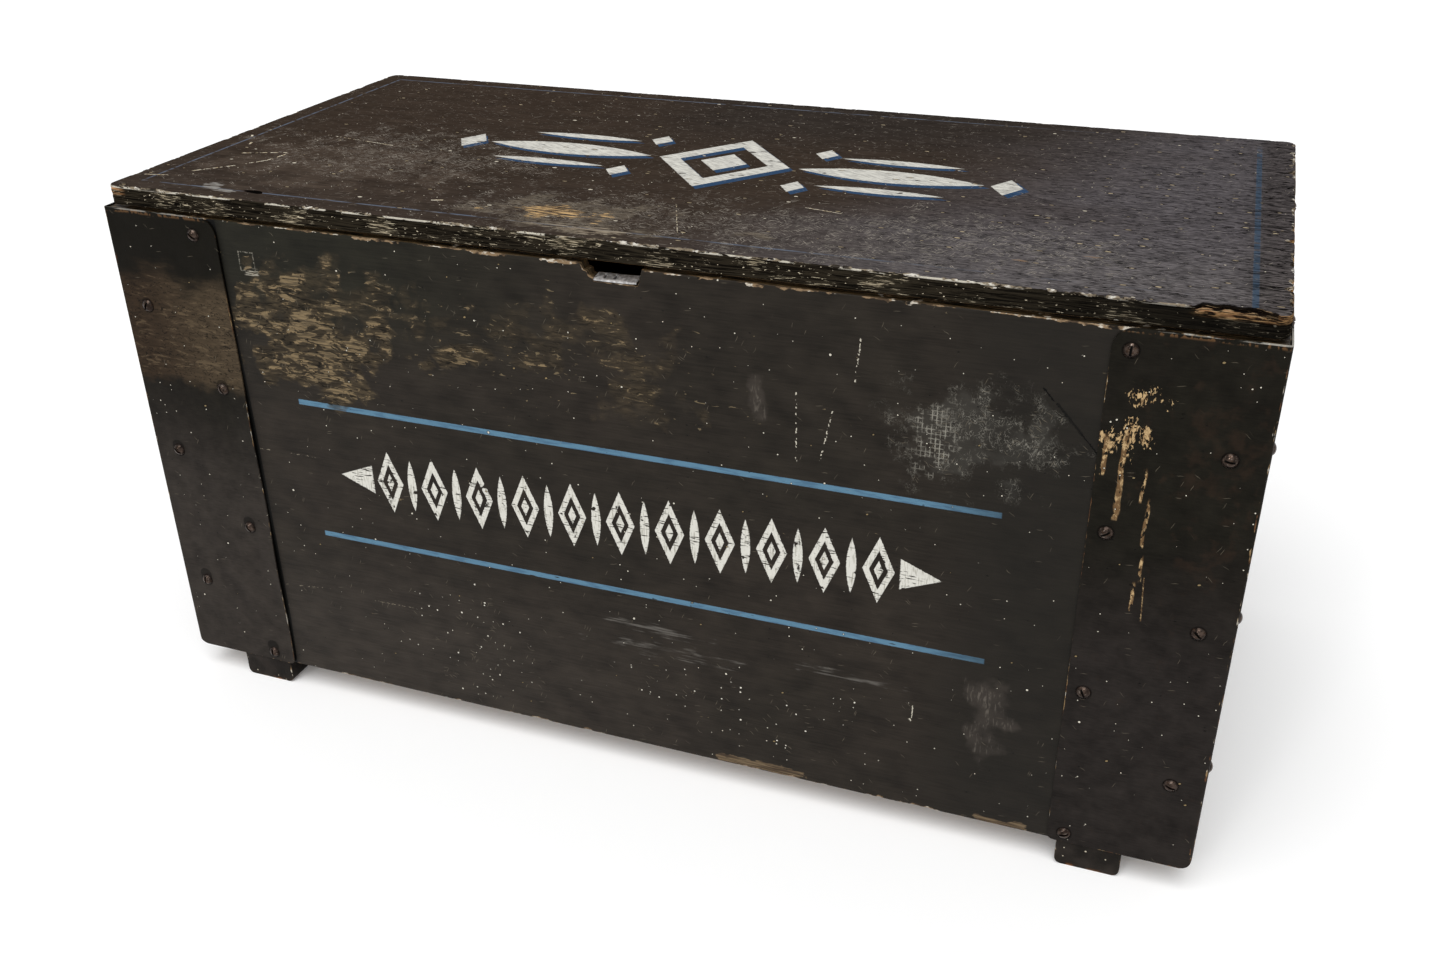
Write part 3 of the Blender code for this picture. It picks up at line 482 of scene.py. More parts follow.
def lid_rim(f):
    """The lid's sides: blackened plies with thin scratches along them, and a broken pale line at the top,
    partly worn paint and partly painted highlight.
    """
    u = f.x
    ply = f.noise(0.9, 3, (26, 26, 1), seed=20)
    rim = f.mix(ply.ramp(0.38, 0.6), (15, 13, 10), (44, 39, 31))
    streak = f.noise(0.6, 3, (15, 15, 1), seed=21)
    patch = f.noise(26, 4, (1.5, 1.5, 1), seed=22)
    rubbed = (streak + patch * 0.9 + u.ramp(760, 560) * 0.04).ramp(1.13, 1.18)
    rim = f.mix(patch.ramp(0.5, 0.66) * 0.4, rim, (56, 51, 41))
    rim = f.mix(rubbed * 0.85, rim, f.mix(streak.ramp(0.5, 0.75), (120, 107, 86), (196, 184, 158)))
    split = u.ramp(LID_LEFT + 20, LID_LEFT + 8) * f.z.ramp(LID_TOP - 9, LID_TOP - 6)
    rim = f.mix(split * ply.ramp(0.42, 0.56), rim, (176, 130, 88))
    broken = f.noise(4, 4, (4, 4, 1), seed=26)
    # The broken pale line along the top: partly worn paint, partly painted highlight.
    rim = f.mix(f.z.ramp(LID_TOP - 1.9, LID_TOP - 1.3) * broken.ramp(0.47, 0.51), rim, (190, 184, 170))
    rim = f.mix(f.noise(1.5, 2, (2, 2, 1), seed=23).ramp(0.70, 0.73), rim, (196, 184, 160))
    rim = f.mix(u.ramp(690, 860) * 0.72, rim, (14, 13, 11))
    torn = u.ramp(848, 868) * f.z.ramp(LID_TOP - 7, LID_TOP - 4)
    wood = f.mix(ply.ramp(0.4, 0.6), (108, 78, 52), (158, 124, 84))
    wood = f.mix(streak.ramp(0.42, 0.56), (30, 22, 16), wood)
    return f.mix(torn * 0.92, rim, wood), ply, streak


def lid_finish():
    """The lid: brown-black paint with a painted bluish sheen to the right and a paler painted sheen near the
    front, with lines, an ornament and scratched grain.
    """
    f = Finish("lid_paint", "top")
    u, v = f.x, f.y
    side = f.z.ramp(LID_TOP - 0.15, LID_TOP - 0.5)
    under = f.z.ramp(LID_TOP - LID_THICK + 0.4, LID_TOP - LID_THICK + 0.1)
    bare = f.bare()

    broad = f.noise(120, 3, (2.2, 1, 1), seed=1)
    mottle = f.noise(15, 5, (2.5, 1, 1), seed=2)
    streak = f.noise(1.1, 4, (24, 1, 1), seed=3, warp=0.3)
    ripple = f.noise(1.1, 2, (7, 1, 1), seed=4, warp=1.0)
    # The right part takes a painted bluish sheen, a livelier painted sheen on the ripples, and more flecks
    # and cracks. A paler painted sheen lies near the front, towards the right.
    rightness = (u + v * -0.35 + broad * 260).ramp(610, 895)
    front_sheen = (v + broad * 60).ramp(200, 30)
    f.base = f.mix(rightness, colour("lid_paint"), colour("lid_faded"))
    f.coat(front_sheen * (u.ramp(440, 860) * 0.72 + 0.06), 92, 88, 88)
    f.coat(v.ramp(230, 380) * u.ramp(280, 440) * (1 - rightness) * 0.6, 44, 41, 39)
    f.coat(f.oval((150, 115), (140, 90), 0.98) * 0.3, 92, 80, 70)
    f.coat(u.ramp(LID_RIGHT - 34, LID_RIGHT - 18) * 0.35, 58, 51, 45)
    tone = (mottle - 0.5) * 0.7 + (streak - 0.5) * 1.7 + (ripple - 0.5) * (rightness * 3.6 + 0.5) + 1.0
    f.base = f.lit(f.base, tone)

    wear = f.noise(5, 4, (3, 1, 1), seed=5)
    line, line_colour = lid_lines(f, wear)
    f.coat(line, line_colour)

    s, t = u - 459.5 + f.rag * 1.3, v - 222 + f.rag * 1.3
    shade, white = lid_ornament(s - 5.5, t + 6.5), lid_ornament(s, t)
    brush = f.noise(1.6, 3, (6, 1, 1), turn=(0, 0, 24), seed=6)
    gone = f.noise(7, 5, (2, 1, 1), seed=7).ramp(0.64, 0.69)
    f.coat(shade * (1 - gone) * 0.92, colour("shade_paint"))
    painted = f.mix(brush.ramp(0.3, 0.66), (168, 166, 160), colour("ornament_paint"))
    f.coat(white * (1 - gone * 0.85), painted)

    patches = f.noise(5, 2, (2, 1, 1), seed=9).ramp(0.54, 0.58)
    crack = f.veins(1.7, 0.03, (8, 1, 1), 8, 0.8) * patches * rightness
    slit = abs(f.noise(4.5, 1.5, (9, 1, 1), seed=10, warp=0.5) - 0.5).ramp(0.024, 0.008)
    slit = slit * (u + broad * 50).ramp(LID_RIGHT - 20, LID_RIGHT + 12)
    relief = lid_scars(f, rightness)
    f.coat(crack.most(slit), 10, 9, 8)

    rim, ply, rim_streak = lid_rim(f)
    f.coat(side, rim)
    inner_grain = f.noise(2.2, 3, (12, 1, 1), seed=24)
    plain = f.mix(inner_grain.ramp(0.3, 0.7), (126, 98, 66), colour("bare_wood"))
    plain = f.mix(f.noise(60, 4, seed=25).ramp(0.5, 0.75) * 0.35, plain, (92, 72, 50))
    f.coat(under, plain)

    worn, raw, grit = edge_wear(f, bare, u.ramp(860, 895) * 0.18 + 0.66,
                                ((44, 39, 33), (132, 120, 102), (214, 209, 198)))
    split = u.ramp(846, 852) * v.ramp(20, 16) * f.z.ramp(LID_TOP - 7, LID_TOP - 4.5)
    layer = f.mix(u.ramp(872, 890), (128, 84, 50), (80, 67, 50))
    layer = f.mix(ply.ramp(0.4, 0.62), layer, (158, 132, 100))
    raw = f.mix(split, raw, f.mix(rim_streak.ramp(0.47, 0.54), (20, 15, 12), layer))
    # Painted shadow under the broken veneer's edge, above the exposed ply.
    veneer = split * f.z.ramp(LID_TOP - 2.6, LID_TOP - 1.4) * (1 - rim_streak.ramp(0.6, 0.7))
    raw = f.mix(veneer, raw, (14, 11, 9))
    f.coat(worn * (1 - under) * 0.95, raw)
    rough = mottle * 0.25 + 0.32 + worn * 0.2 + side * 0.1 + under * 0.3
    height = (ripple * (rightness * 0.5 + 0.12) + streak * 0.2 + mottle * 0.4) * (1 - side)
    height = height - crack * 0.4 - slit * 0.9 + line * 0.02 + white * (1 - gone) * 0.05 + relief
    height = height + side * (ply * 0.6 + rim_streak * 0.5) - worn * 0.2 + worn * grit * 0.5
    return f.done(rough, height, specular=0.0)


def edge_wear(f, bare, shift, tints=((74, 60, 46), (134, 112, 86), (198, 190, 175))):
    """Wear along modelled edges: (mask, its colour, its grit). The higher the shift, the less of it."""
    grit = f.noise(2.4, 4, (3, 3, 1.5), seed=30)
    worn = (bare + grit * 1.2).ramp(shift + 0.55, shift + 0.63)
    tint = f.noise(4, 5, (2.2, 2.2, 1), seed=31)
    raw = f.mix(tint.ramp(0.54, 0.62), f.mix(tint.ramp(0.4, 0.5), tints[0], tints[1]), tints[2])
    return worn, f.mix(grit.ramp(0.46, 0.36), raw, (24, 20, 16)), grit


def case_base(f, across, up):
    """Lays the case's black paint: (mottle, grain)."""
    broad = f.noise(150, 3, seed=1)
    mottle = f.noise(17, 5, (1.6, 1.6, 1), seed=2)
    grain = f.noise(1.1, 4, (20, 20, 1), seed=3, warp=0.3)
    f.base = f.mix(broad.ramp(0.35, 0.65), colour("case_paint"), (40, 35, 30))
    f.coat(up.ramp(170, 60) * across.ramp(620, 250) * 0.8, 49, 44, 39)
    f.coat((up + broad * 80).ramp(350, 440) * across.ramp(500, 200) * 0.8, 27, 27, 20)
    tone = (mottle - 0.5) * 1.5 + (grain - 0.5) * 0.9 + 1.04
    f.base = f.lit(f.base, tone)
    return mottle, grain


def common_scars(f, busy):
    """Specks, pits and fine scratches on black paint: their height in mm."""
    hair = f.hairs(2.2, 0.24, busy * 0.25 + 0.035, seed=40)
    f.coat(hair * 0.38, 136, 126, 108)
    dot, ring = f.spots(11, 0.62, 0.13, seed=44)
    big, big_ring = f.spots(40, 1.15, 0.2, seed=45)
    tan, tan_ring = f.spots(15, 0.8, 0.04, 1.6, 20, seed=46)
    pit, _ = f.spots(11, 0.8, 0.12, 1.5, seed=47)
    f.coat(pit.most(ring).most(big_ring).most(tan_ring) * 0.6, 12, 11, 9)
    f.coat(tan * 0.9, 140, 122, 88)
    f.coat(dot.most(big), 208, 202, 186)
    return dot * 0.1 + big * 0.2 - pit * 0.3 - hair * 0.04


def rubbed_through(f, zone, blot, soft=0.5):
    """Islands where paint is rubbed off in streaks over a browned zone: (islands, stain, cracks)."""
    flow = f.noise(4.6, 6, (3, 3, 1), seed=50, warp=0.9)
    stain = (zone * 1.1 + blot * 0.9 - 0.72).ramp(0.1, 0.7)
    f.coat(stain * soft, f.mix(flow.ramp(0.35, 0.65), (48, 41, 31), (88, 76, 58)))
    island = (zone * 0.28 + flow + blot * 0.4 + f.rag * 0.16).ramp(1.0, 1.015)
    shade = f.noise(1.6, 3, (8, 8, 1), seed=51)
    f.coat(island * 0.95, f.mix(shade.ramp(0.35, 0.65), (86, 75, 58), (130, 112, 84)))
    crack = f.veins(4.5, 0.02, (7, 7, 1), 52) * stain
    f.coat(crack * 0.85, 14, 12, 9)
    return island, stain, crack


def front_finish():
    """The front: two blue lines, a row of ornament, abrasions and scuffs."""
    f = Finish("front_paint", "front")
    u, w = f.x, f.z
    inner = f.y.ramp(WALL - 0.6, WALL - 0.2)
    edge = f.y.ramp(0.35 + PANEL_FACE, 0.8 + PANEL_FACE) * (1 - inner)
    mottle, grain = case_base(f, u, w)

    thick = 2.35 + f.rag * 0.5
    upper = (thick - abs(w - 279)).ramp(-0.25, 0.25) * abs(u - 454).ramp(293.5, 292.5)
    lower = (thick - abs(w - 153)).ramp(-0.25, 0.25) * abs(u - 455).ramp(290, 289)
    lines = upper.most(lower)
    line_wear = f.noise(3, 4, (6, 1, 1), seed=11)
    lines = lines * line_wear.ramp(0.74, 0.68)
    blue = f.mix(line_wear.ramp(0.35, 0.55), (74, 106, 130), colour("line_paint"))
    f.coat(lines, blue)

    brush = f.noise(1.5, 3, (1, 1, 7), seed=12)
    streak = f.noise(1.2, 4, (8, 1, 1), seed=13)
    white = front_ornament(u - 450.5 + f.rag * 1.2, w - 216 + f.rag * 1.2)
    kept = white * streak.ramp(0.66, 0.6) * f.noise(6, 4, seed=14).ramp(0.7, 0.64)
    f.coat(kept * 0.97, f.mix(brush.ramp(0.28, 0.5), (164, 161, 149), colour("ornament_paint")))

    blot = f.noise(24, 4, (1.9, 1, 1), seed=16)
    zone = f.ovals([((176, 342), (116, 58)), ((318, 340), (50, 15)), ((192, 304), (66, 26))], 0.98)
    faint = f.ovals([((230, 384), (120, 34)), ((470, 330), (60, 46)), ((400, 370), (130, 36))], 0.98)
    zone = zone.most(faint * 0.6)
    island, stain, crack = rubbed_through(f, zone, blot, 0.7)
    scrape = f.noise(3.2, 4, (3, 1, 1), seed=48, warp=0.8) + f.oval((400, 350), (250, 75), 0.98) * 0.1
    f.coat(scrape.ramp(0.775, 0.785) * 0.8, 112, 99, 76)

    rubbed = f.oval((722, 336), (74, 44), 0.98)
    swirl = f.veins(5.5, 0.02, seed=20, warp=1.2).most(f.veins(3.6, 0.02, (1, 1, 2), 21, 0.8) * 0.7)
    threads = abs(u.repeat(3.3) + f.rag).ramp(0.5, 0.2).most(abs(w.repeat(3.6) + f.rag).ramp(0.5, 0.2) * 0.8)
    cloth = f.oval((694, 334), (20, 30), 0.9)
    grid = (swirl * rubbed * 0.7).most(threads * cloth) * f.noise(6, 3, seed=23).ramp(0.4, 0.58)
    haze = (rubbed + mottle * 1.4 - 0.8).ramp(0.3, 1.1)
    low = f.ovals([((754, 106), (28, 46)), ((566, 348), (12, 22))], 0.98)
    fall = f.noise(2.2, 5, (1, 1, 4), seed=22, warp=0.8)
    smear = f.ovals([((472, 121), (56, 7)), ((634, 113), (58, 7)), ((500, 102), (90, 12))], 0.95)
    sweep = f.noise(2.0, 4, (14, 1, 1), seed=24)
    f.coat((u + mottle * 90).ramp(730, 800) * 0.55, 27, 26, 23)
    f.coat(haze * 0.32, 76, 74, 69)
    f.coat(grid * 0.6, 166, 162, 150)
    f.coat((low * mottle * 1.5).ramp(0.2, 0.9) * 0.25, 88, 80, 74)
    f.coat((low * 0.2 + fall).ramp(0.7, 0.95) * low * 0.3, 134, 126, 116)
    f.coat((smear * 0.2 + sweep).ramp(0.64, 0.88) * smear * 0.42, 126, 122, 116)

    dusty = f.ovals([((300, 70), (62, 60)), ((540, 60), (110, 40))], 0.9)
    relief = common_scars(f, (dusty * 0.6).most(rubbed).most(zone * 0.6))
    dust, _ = f.spots(8, 0.95, 0.24, seed=27)
    f.coat(dust * dusty.ramp(0.05, 0.4), 214, 209, 196)
    bitten = f.ovals([((572, 4), (54, 11)), ((768, 4), (28, 8))], 0.9) * w.ramp(20, 4)
    brown = f.mix(grain.ramp(0.4, 0.6), (66, 54, 42), (108, 92, 71))
    f.coat((bitten * 0.5 + streak * 0.6).ramp(0.62, 0.68), brown)
    square = (abs(u - 133) - 7).most(abs(w - 398) - 8)
    sides = (0.5 - abs(square + f.rag * 2)).ramp(-0.2, 0.3) * (f.rag + 0.5).ramp(0.45, 0.52) * 0.5
    foot = (w - 392 + f.rag * 8).ramp(2, -2) * abs(u - 136).ramp(8, 5) * (w - 386).ramp(0, 1)
    boxed = sides.most(foot * streak.ramp(0.45, 0.55))
    dots = f.noise(2.4, 1, seed=28).ramp(0.5, 0.56)
    scratch = f.lines((106, 88, 162, 94, 0.8), (112, 227, 174, 228, 0.8), (207, 91, 246, 92, 0.8)) * dots
    f.coat(scratch * 0.6, 150, 140, 122)
    ticks = f.lines((594, 352, 595, 296, 1.1), (622, 345, 613, 300, 1.2), (640, 400, 637, 366, 1.1)) * dots
    ticks = ticks.most(f.lines((693, 99, 693, 87, 0.9), (691, 86, 692.5, 84, 1.6)))
    f.coat((boxed * 0.6).most(ticks), 190, 184, 168)
    slash = f.lines((766, 381, 774, 372, 1.2), (794, 351, 806, 338, 1.0)).most(
        f.line(776, 371, 795, 350, 1.9) * (f.rag + 0.72))
    # A painted shadow of the gap under the left plate's lifted edge, widest halfway down, and painted shade
    # with grime along the plate's edge, laid with the slashes' dark.
    width = w.ramp(400, 250) * w.ramp(-20, 60) * 2.6 + 0.9 + f.rag * 0.8
    gap_shadow = (width - u + PLATE_EDGE).ramp(-0.2, 0.4)
    grime_and_shade = (u - PLATE_EDGE).ramp(8, 0) * 0.5
    f.coat(slash.most(gap_shadow).most(grime_and_shade), 5, 5, 4)

    ply = f.noise(1.2, 3, (14, 1, 14), seed=29)
    f.coat(edge * 0.7, f.mix(ply.ramp(0.4, 0.65), (34, 29, 21), (104, 84, 56)))
    f.coat(inner, inside_wood(f))
    worn, raw, grit = edge_wear(f, f.bare(), w.ramp(300, 20) * 0.06 + 0.57)
    f.coat(worn * 0.95, raw)

    rough = mottle * 0.2 + 0.36 + stain * 0.2 + worn * 0.2 + inner * 0.25
    height = grain * 0.2 + mottle * 0.5 - island * 0.12 - crack * 0.3 + kept * 0.05 + lines * 0.05 + relief
    height = height - slash * 0.8 + grid * 0.08 - worn * 0.2 + worn * grit * 0.5 + edge * ply * 0.5
    return f.done(rough, height, specular=0.08)


def inside_wood(f):
    """Unpainted ply inside the case."""
    grain = f.noise(2.0, 4, (12, 12, 1), seed=60, warp=0.5)
    wood = f.mix(grain.ramp(0.3, 0.72), (118, 92, 62), colour("bare_wood"))
    wood = f.mix(f.noise(70, 4, (1, 1, 1.5), seed=61).ramp(0.45, 0.75) * 0.38, wood, (84, 66, 46))
    spot, _ = f.spots(22, 1.3, 0.3, 1.5, seed=62)
    return f.mix(spot * 0.7, wood, (52, 40, 29))


def case_finish():
    """The back and the ends: the same paint with plainer wear, and bare ply inside."""
    f = Finish("case_paint")
    u, v, w = f.x, f.y, f.z
    wide, deep = CASE_WIDTH / MM, (CASE_BACK - CORNER.y) / MM
    inner = (u.least(wide - u)).least(v.least(deep - v)).ramp(WALL - 0.6, WALL - 0.2)
    mottle, grain = case_base(f, f.u, w)
    blot = f.noise(26, 4, (1.9, 1.9, 1), seed=16)
    zone = f.noise(150, 2, seed=17).ramp(0.52, 0.7)
    island, stain, crack = rubbed_through(f, zone * 0.7, blot)
    relief = common_scars(f, zone)
    f.coat(inner, inside_wood(f))
    worn, raw, grit = edge_wear(f, f.bare(), 0.62)
    f.coat(worn * 0.9, raw)
    rough = mottle * 0.2 + 0.38 + stain * 0.2 + worn * 0.2 + inner * 0.25
    height = grain * 0.2 + mottle * 0.5 - island * 0.12 - crack * 0.3 + relief
    return f.done(rough, height - worn * 0.2 + worn * grit * 0.5, specular=0.08)


def screw_shade_and_grime(f, places):
    """A dark ring round each screw of a plate: painted shade with grime."""
    offsets = ((place - CORNER) / MM for place in places)
    nearest = reduce(Number.least, ((f.u - (a.x + a.y)) ** 2 + (f.v - a.z) ** 2 for a in offsets))
    return nearest.ramp(6.6 ** 2, 5.6 ** 2)


def plate_finish(name, places, front_marks=None):
    """The corner plates: black paint on steel. front_marks adds what one front plate alone has."""
    f = Finish(name)
    w = f.z
    broad = f.noise(90, 3, seed=1)
    mottle = f.noise(13, 5, seed=2)
    grain = f.noise(1.2, 3, (8, 8, 1), seed=3, warp=0.4)
    f.base = f.mix(broad.ramp(0.35, 0.65), colour("plate_paint"), (27, 24, 20))
    on_left = front_marks is left_plate_marks
    f.coat(w.ramp(290, 160) * 0.8, *((52, 47, 43) if on_left else (39, 35, 33)))
    f.base = f.lit(f.base, (mottle - 0.5) * 1.3 + (grain - 0.5) * 0.8 + 1.0)
    if on_left:
        f.coat(w.ramp(335, 380) * 0.7, 16, 14, 9)
    extra = front_marks(f) if front_marks else 0.0
    relief = common_scars(f, 0.0)
    # Painted shade with grime round each screw.
    f.coat(screw_shade_and_grime(f, places) * 0.6, 6, 5, 4)
    grit = f.noise(2.2, 4, (1, 1, 3), seed=8)
    worn = (f.bare() + grit * 1.1).ramp(1.2, 1.3)
    rust = f.noise(9, 3, seed=9)
    pale = f.mix(rust.ramp(0.55, 0.62), (142, 118, 84), (184, 178, 166))
    f.coat(worn * 0.9, f.mix(rust.ramp(0.42, 0.52), (92, 62, 42), pale))
    broken = f.noise(6, 4, (4, 4, 1), seed=10)
    below = w.ramp(PLATE_TOP - 4, PLATE_TOP - 2) * (broken + grit * 0.6).ramp(0.86, 0.92)
    f.coat(below * 0.6, 112, 82, 54)
    shine = w.ramp(PLATE_TOP - 1.0, PLATE_TOP - 0.5) * broken.ramp(0.46, 0.54) * (0.45 if on_left else 0.65)
    f.coat(shine, 184, 180, 170)
    rough = mottle * 0.25 + 0.3 + worn * 0.1
    height = mottle * 0.5 + broad * 2.0 + grain * 0.1 + relief - worn * 0.08
    return f.done(rough + extra * 0.15, height + extra * 0.12, specular=0.04)


def left_plate_marks(f):
    """A rubbed brown band across the upper half of the left plate: how rough it is."""
    flow = f.noise(3.2, 5, (4, 4, 1), seed=70, warp=0.7)
    blot = f.noise(26, 5, (1.7, 1.7, 1), seed=71)
    up = f.z + f.sway[0] * 16
    zone = up.ramp(262, 292) * up.ramp(415, 345)
    stain = (zone * 0.75 + blot * 0.5 + flow * 0.2 - 0.35).ramp(0.2, 0.72)
    tint = f.mix(f.u.ramp(10, 100), (54, 42, 31), (77, 65, 50))
    f.coat(stain * 0.8, f.lit(tint, flow * 1.4 + 0.3))
    streaks = (zone * 0.25 + flow * 0.9 + blot * 0.4).ramp(0.96, 1.04) * 0.32
    f.coat(streaks, 108, 93, 72)
    crack = f.veins(3.6, 0.022, (3, 3, 1), 72, 0.9) * stain
    f.coat(crack * 0.8, 16, 13, 10)
    return stain * flow


def right_plate_marks(f):
    """Tan paint that ran down the right plate below a spattered patch: where it is."""
    x, z = f.x, f.z
    sway = (f.noise(16, 2, (1, 1, 2.5), seed=70) - 0.5) * 10
    swell = f.noise(5, 2, (1, 1, 3), seed=73)
    # Each drip's place, top, end and width.
    table = ((811, 350, 323, 1.9), (823, 352, 290, 2.1), (838, 328, 306, 1.1), (843, 306, 272, 1.2),
             (845, 262, 244, 0.8), (842, 240, 220, 1.1))
    drips = most((swell * width * 1.9 - abs(x - place + sway * 0.7)).ramp(-0.3, 0.5)
                 * z.ramp(top + 6, top) * z.ramp(end, end + 2) for place, top, end, width in table)
    holes = f.noise(2.6, 3, (1, 1, 2.5), seed=71)
    drips = drips * (holes + x.ramp(832, 822) * 0.08).ramp(0.46, 0.5)
    blot = f.noise(4, 5, (1, 1, 1.5), seed=72)
    lace = f.noise(1.7, 4, (1, 1, 1.8), seed=74, warp=0.6)
    patch = (f.ovals([((823, 352), (13, 20)), ((811, 350), (8, 14)), ((838, 356), (14, 12))], 0.98) * 0.4
             + lace).ramp(0.87, 0.9)
    spatter = (f.oval((828, 384), (22, 12), 0.98) * 0.3 + lace).ramp(0.8, 0.83)
    tan = drips.most(patch).most(spatter)
    tan = tan.most(f.line(848, 250, 850, 214, 0.9) * (f.rag + 0.5).ramp(0.4, 0.46) * 0.7)
    ring = drips.ramp(0.02, 0.3) - drips.ramp(0.3, 0.6)
    f.coat(ring * 0.6, 10, 8, 6)
    f.coat(tan, f.mix((blot * 0.5 + lace * 0.5).ramp(0.46, 0.6), (104, 80, 54), (186, 158, 116)))
    rust = (f.oval((884, 340), (44, 110), 0.98) * 0.2 + f.noise(9, 5, seed=75)).ramp(0.6, 0.9)
    f.coat(rust * 0.3, 58, 43, 33)
    return tan


def stick_finish(name, paint):
    """A solid wood batten, along X or Y, painted or bare."""
    f = Finish(name)
    grain = f.noise(1.8, 4, (14, 14, 1) if not paint else (1, 14, 1), seed=1, warp=0.4)
    mottle = f.noise(18, 4, seed=2)
    if paint:
        f.base = f.mix(mottle.ramp(0.35, 0.7), (28, 25, 22), (46, 41, 37))
        low = (f.z + mottle * 9).ramp(-16, -22.5)
        f.coat(low * f.noise(4, 4, (2, 2, 1), seed=3).ramp(0.44, 0.56), 134, 86, 48)
        speck, ring = f.spots(8, 0.9, 0.2, seed=4)
        f.coat(ring * 0.6, 12, 10, 8)
        f.coat(speck, 196, 186, 166)
    else:
        f.base = f.mix(grain.ramp(0.3, 0.7), (120, 92, 60), colour("bare_wood"))
        f.coat(mottle.ramp(0.5, 0.8) * 0.6, 86, 66, 45)
    worn, raw, _ = edge_wear(f, f.bare(), 0.6)
    f.coat(worn * 0.85, raw if paint else (176, 146, 106))
    return f.done(mottle * 0.2 + (0.38 if paint else 0.6), grain * 0.25 + mottle * 0.2 - worn * 0.15)


def steel_finish(name, dark, light, metallic, roughness, rust=None, relief=1.0, specular=0.5):
    """Bare or blackened metal with tarnish; where a colour is given for rust, rust and pale flecks of painted
    highlight. Head rims darken with painted shade, and slots are painted near-black.
    """
    f = Finish(name)
    shade_and_dirt = f.bare()
    mottle = f.noise(3, 4, seed=1)
    fine = f.noise(0.8, 3, seed=2)
    f.base = f.mix(mottle.ramp(0.35, 0.68), dark, light)
    spots = f.noise(2.2, 4, seed=3).ramp(0.56, 0.68)
    if rust:
        f.coat(spots * 0.85, rust)
        # Pale flecks: painted highlights.
        f.coat(f.noise(1.6, 2, seed=4).ramp(0.62, 0.68) * 0.2, 184, 172, 162)
    # Darkens by the modelled share: painted shade at screw head rims, and near-black in slots.
    f.coat(shade_and_dirt, 5, 4, 3)
    rough = mottle * 0.25 * relief + roughness + spots * (0.2 if rust else 0.05)
    return f.done(rough, (fine * 0.05 + mottle * 0.12) * relief,
                  metallic=(1 - spots * 0.5 if rust else metallic) * (1 - shade_and_dirt), specular=specular)


# Modelling helpers.


def shown(mesh, finish, body, slot, *nodes):
    """Puts a mesh in the scene under its own name, as a piece of a body and in place of its nodes."""
    obj = bpy.data.objects.new(mesh.name, mesh)
    bpy.context.scene.collection.objects.link(obj)
    mesh.materials.clear()
    mesh.materials.append(finish)
    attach(obj, body)
    if nodes:
        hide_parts(*nodes)


def closed_mesh(bm, name, angle=35):
    """The mesh of a closed form, its faces outwards and its hard edges sharp."""
    bmesh.ops.recalc_face_normals(bm, faces=bm.faces)
    mesh = bpy.data.meshes.new(name)
    bm.to_mesh(mesh)
    bm.free()
    mesh.set_sharp_from_angle(angle=math.radians(angle))
    return mesh


def bridge(bm, loops, smooth=True):
    """Joins each closed loop of points to the next by a row of faces."""
    for upper, lower in zip(loops, loops[1:]):
        for i in range(len(upper)):
            j = (i + 1) % len(upper)
            bm.faces.new((upper[i], upper[j], lower[j], lower[i])).smooth = smooth


def dense(points, step=OUTLINE_STEP):
    """A closed outline with each side split into stretches of about one step."""
    made = []
    for (a, b), (c, d) in zip(points, points[1:] + points[:1]):
        parts = max(1, round(math.hypot(c - a, d - b) / step))
        made += [(a + (c - a) * i / parts, b + (d - b) * i / parts) for i in range(parts)]
    return made


def rounded(low, high, radii, steps=8):
    """A rectangle with round corners, anticlockwise from its lower left one."""
    corners = ((low[0], low[1], 1, 1, 180), (high[0], low[1], -1, 1, 270),
               (high[0], high[1], -1, -1, 0), (low[0], high[1], 1, -1, 90))
    made = []
    for (a, b, sa, sb, start), radius in zip(corners, radii):
        for i in range(steps + 1):
            angle = math.radians(start + 90 * i / steps)
            made.append((a + sa * radius + radius * math.cos(angle),
                         b + sb * radius + radius * math.sin(angle)))
    return made


def inward(outline):
    """The direction into an anticlockwise outline at each of its points."""
    made = []
    for i in range(len(outline)):
        (a, b), (c, d) = outline[i - 1], outline[(i + 1) % len(outline)]
        length = math.hypot(c - a, d - b) or 1
        made.append((-(d - b) / length, (c - a) / length))
    return made


def wander(point, size, seed):
    """Smooth noise from -1 to 1 with features of that size."""
    return noise.noise(Vector((point[0] / size, point[1] / size, seed * 3.7)))


def mitred(outline, low, high):
    """The share of the rings' insets that each point takes, so that the rings don't cross at corners."""
    made = []
    for a, b in outline:
        room = max(min(a - low[0], high[0] - a), min(b - low[1], high[1] - b))
        made.append(min(1.0, 0.6 * room / FACE_INSET))
    return made


def chipped(outline, seed, run, share, depth):
    """How far the edge is chipped in at each point, with sharp ends, over a share of its length."""
    made = []
    for point in outline:
        value = wander(point, run, seed) + 0.6 * wander(point, run / 5, seed + 1)
        over = max(0.0, value - 0.45 + share)
        steps = math.ceil(min(1.0, over * 3) * 3) / 3
        made.append(depth * steps * (0.8 + 0.4 * wander(point, run / 12, seed + 2)) if steps else 0.0)
    return made


# A ring of a board: its depth, how far it lies in, its wear, the shares that it takes of chips, of a
# deep break and of a groove under the veneer, and the share of chips at the far face.
Ring = namedtuple("Ring", "depth inset wear chip deep groove far", defaults=(0, 0, 0, 0, 0, 0))


def face_rings(edge=0.0009):
    """Rings from the face over its rounded edge down through the veneer."""
    table = ((0, FACE_INSET, 0.0), (0, 0.0022, 0.15), (0, edge, 0.62), (edge * 0.14, edge * 0.5, 0.85),
             (edge * 0.5, edge * 0.14, 0.8), (edge * 1.1, 0, 0.5), (VENEER - 0.0001, 0, 0.35))
    return [Ring(depth, inset, wear, chip=1, deep=1) for depth, inset, wear in table]


def mirrored(rings, thickness, wear=1.0):
    """The same rings for the far face, taking its chips and a share of the wear."""
    return [Ring(thickness - r.depth, r.inset, r.wear * wear, far=r.chip) for r in reversed(rings)]


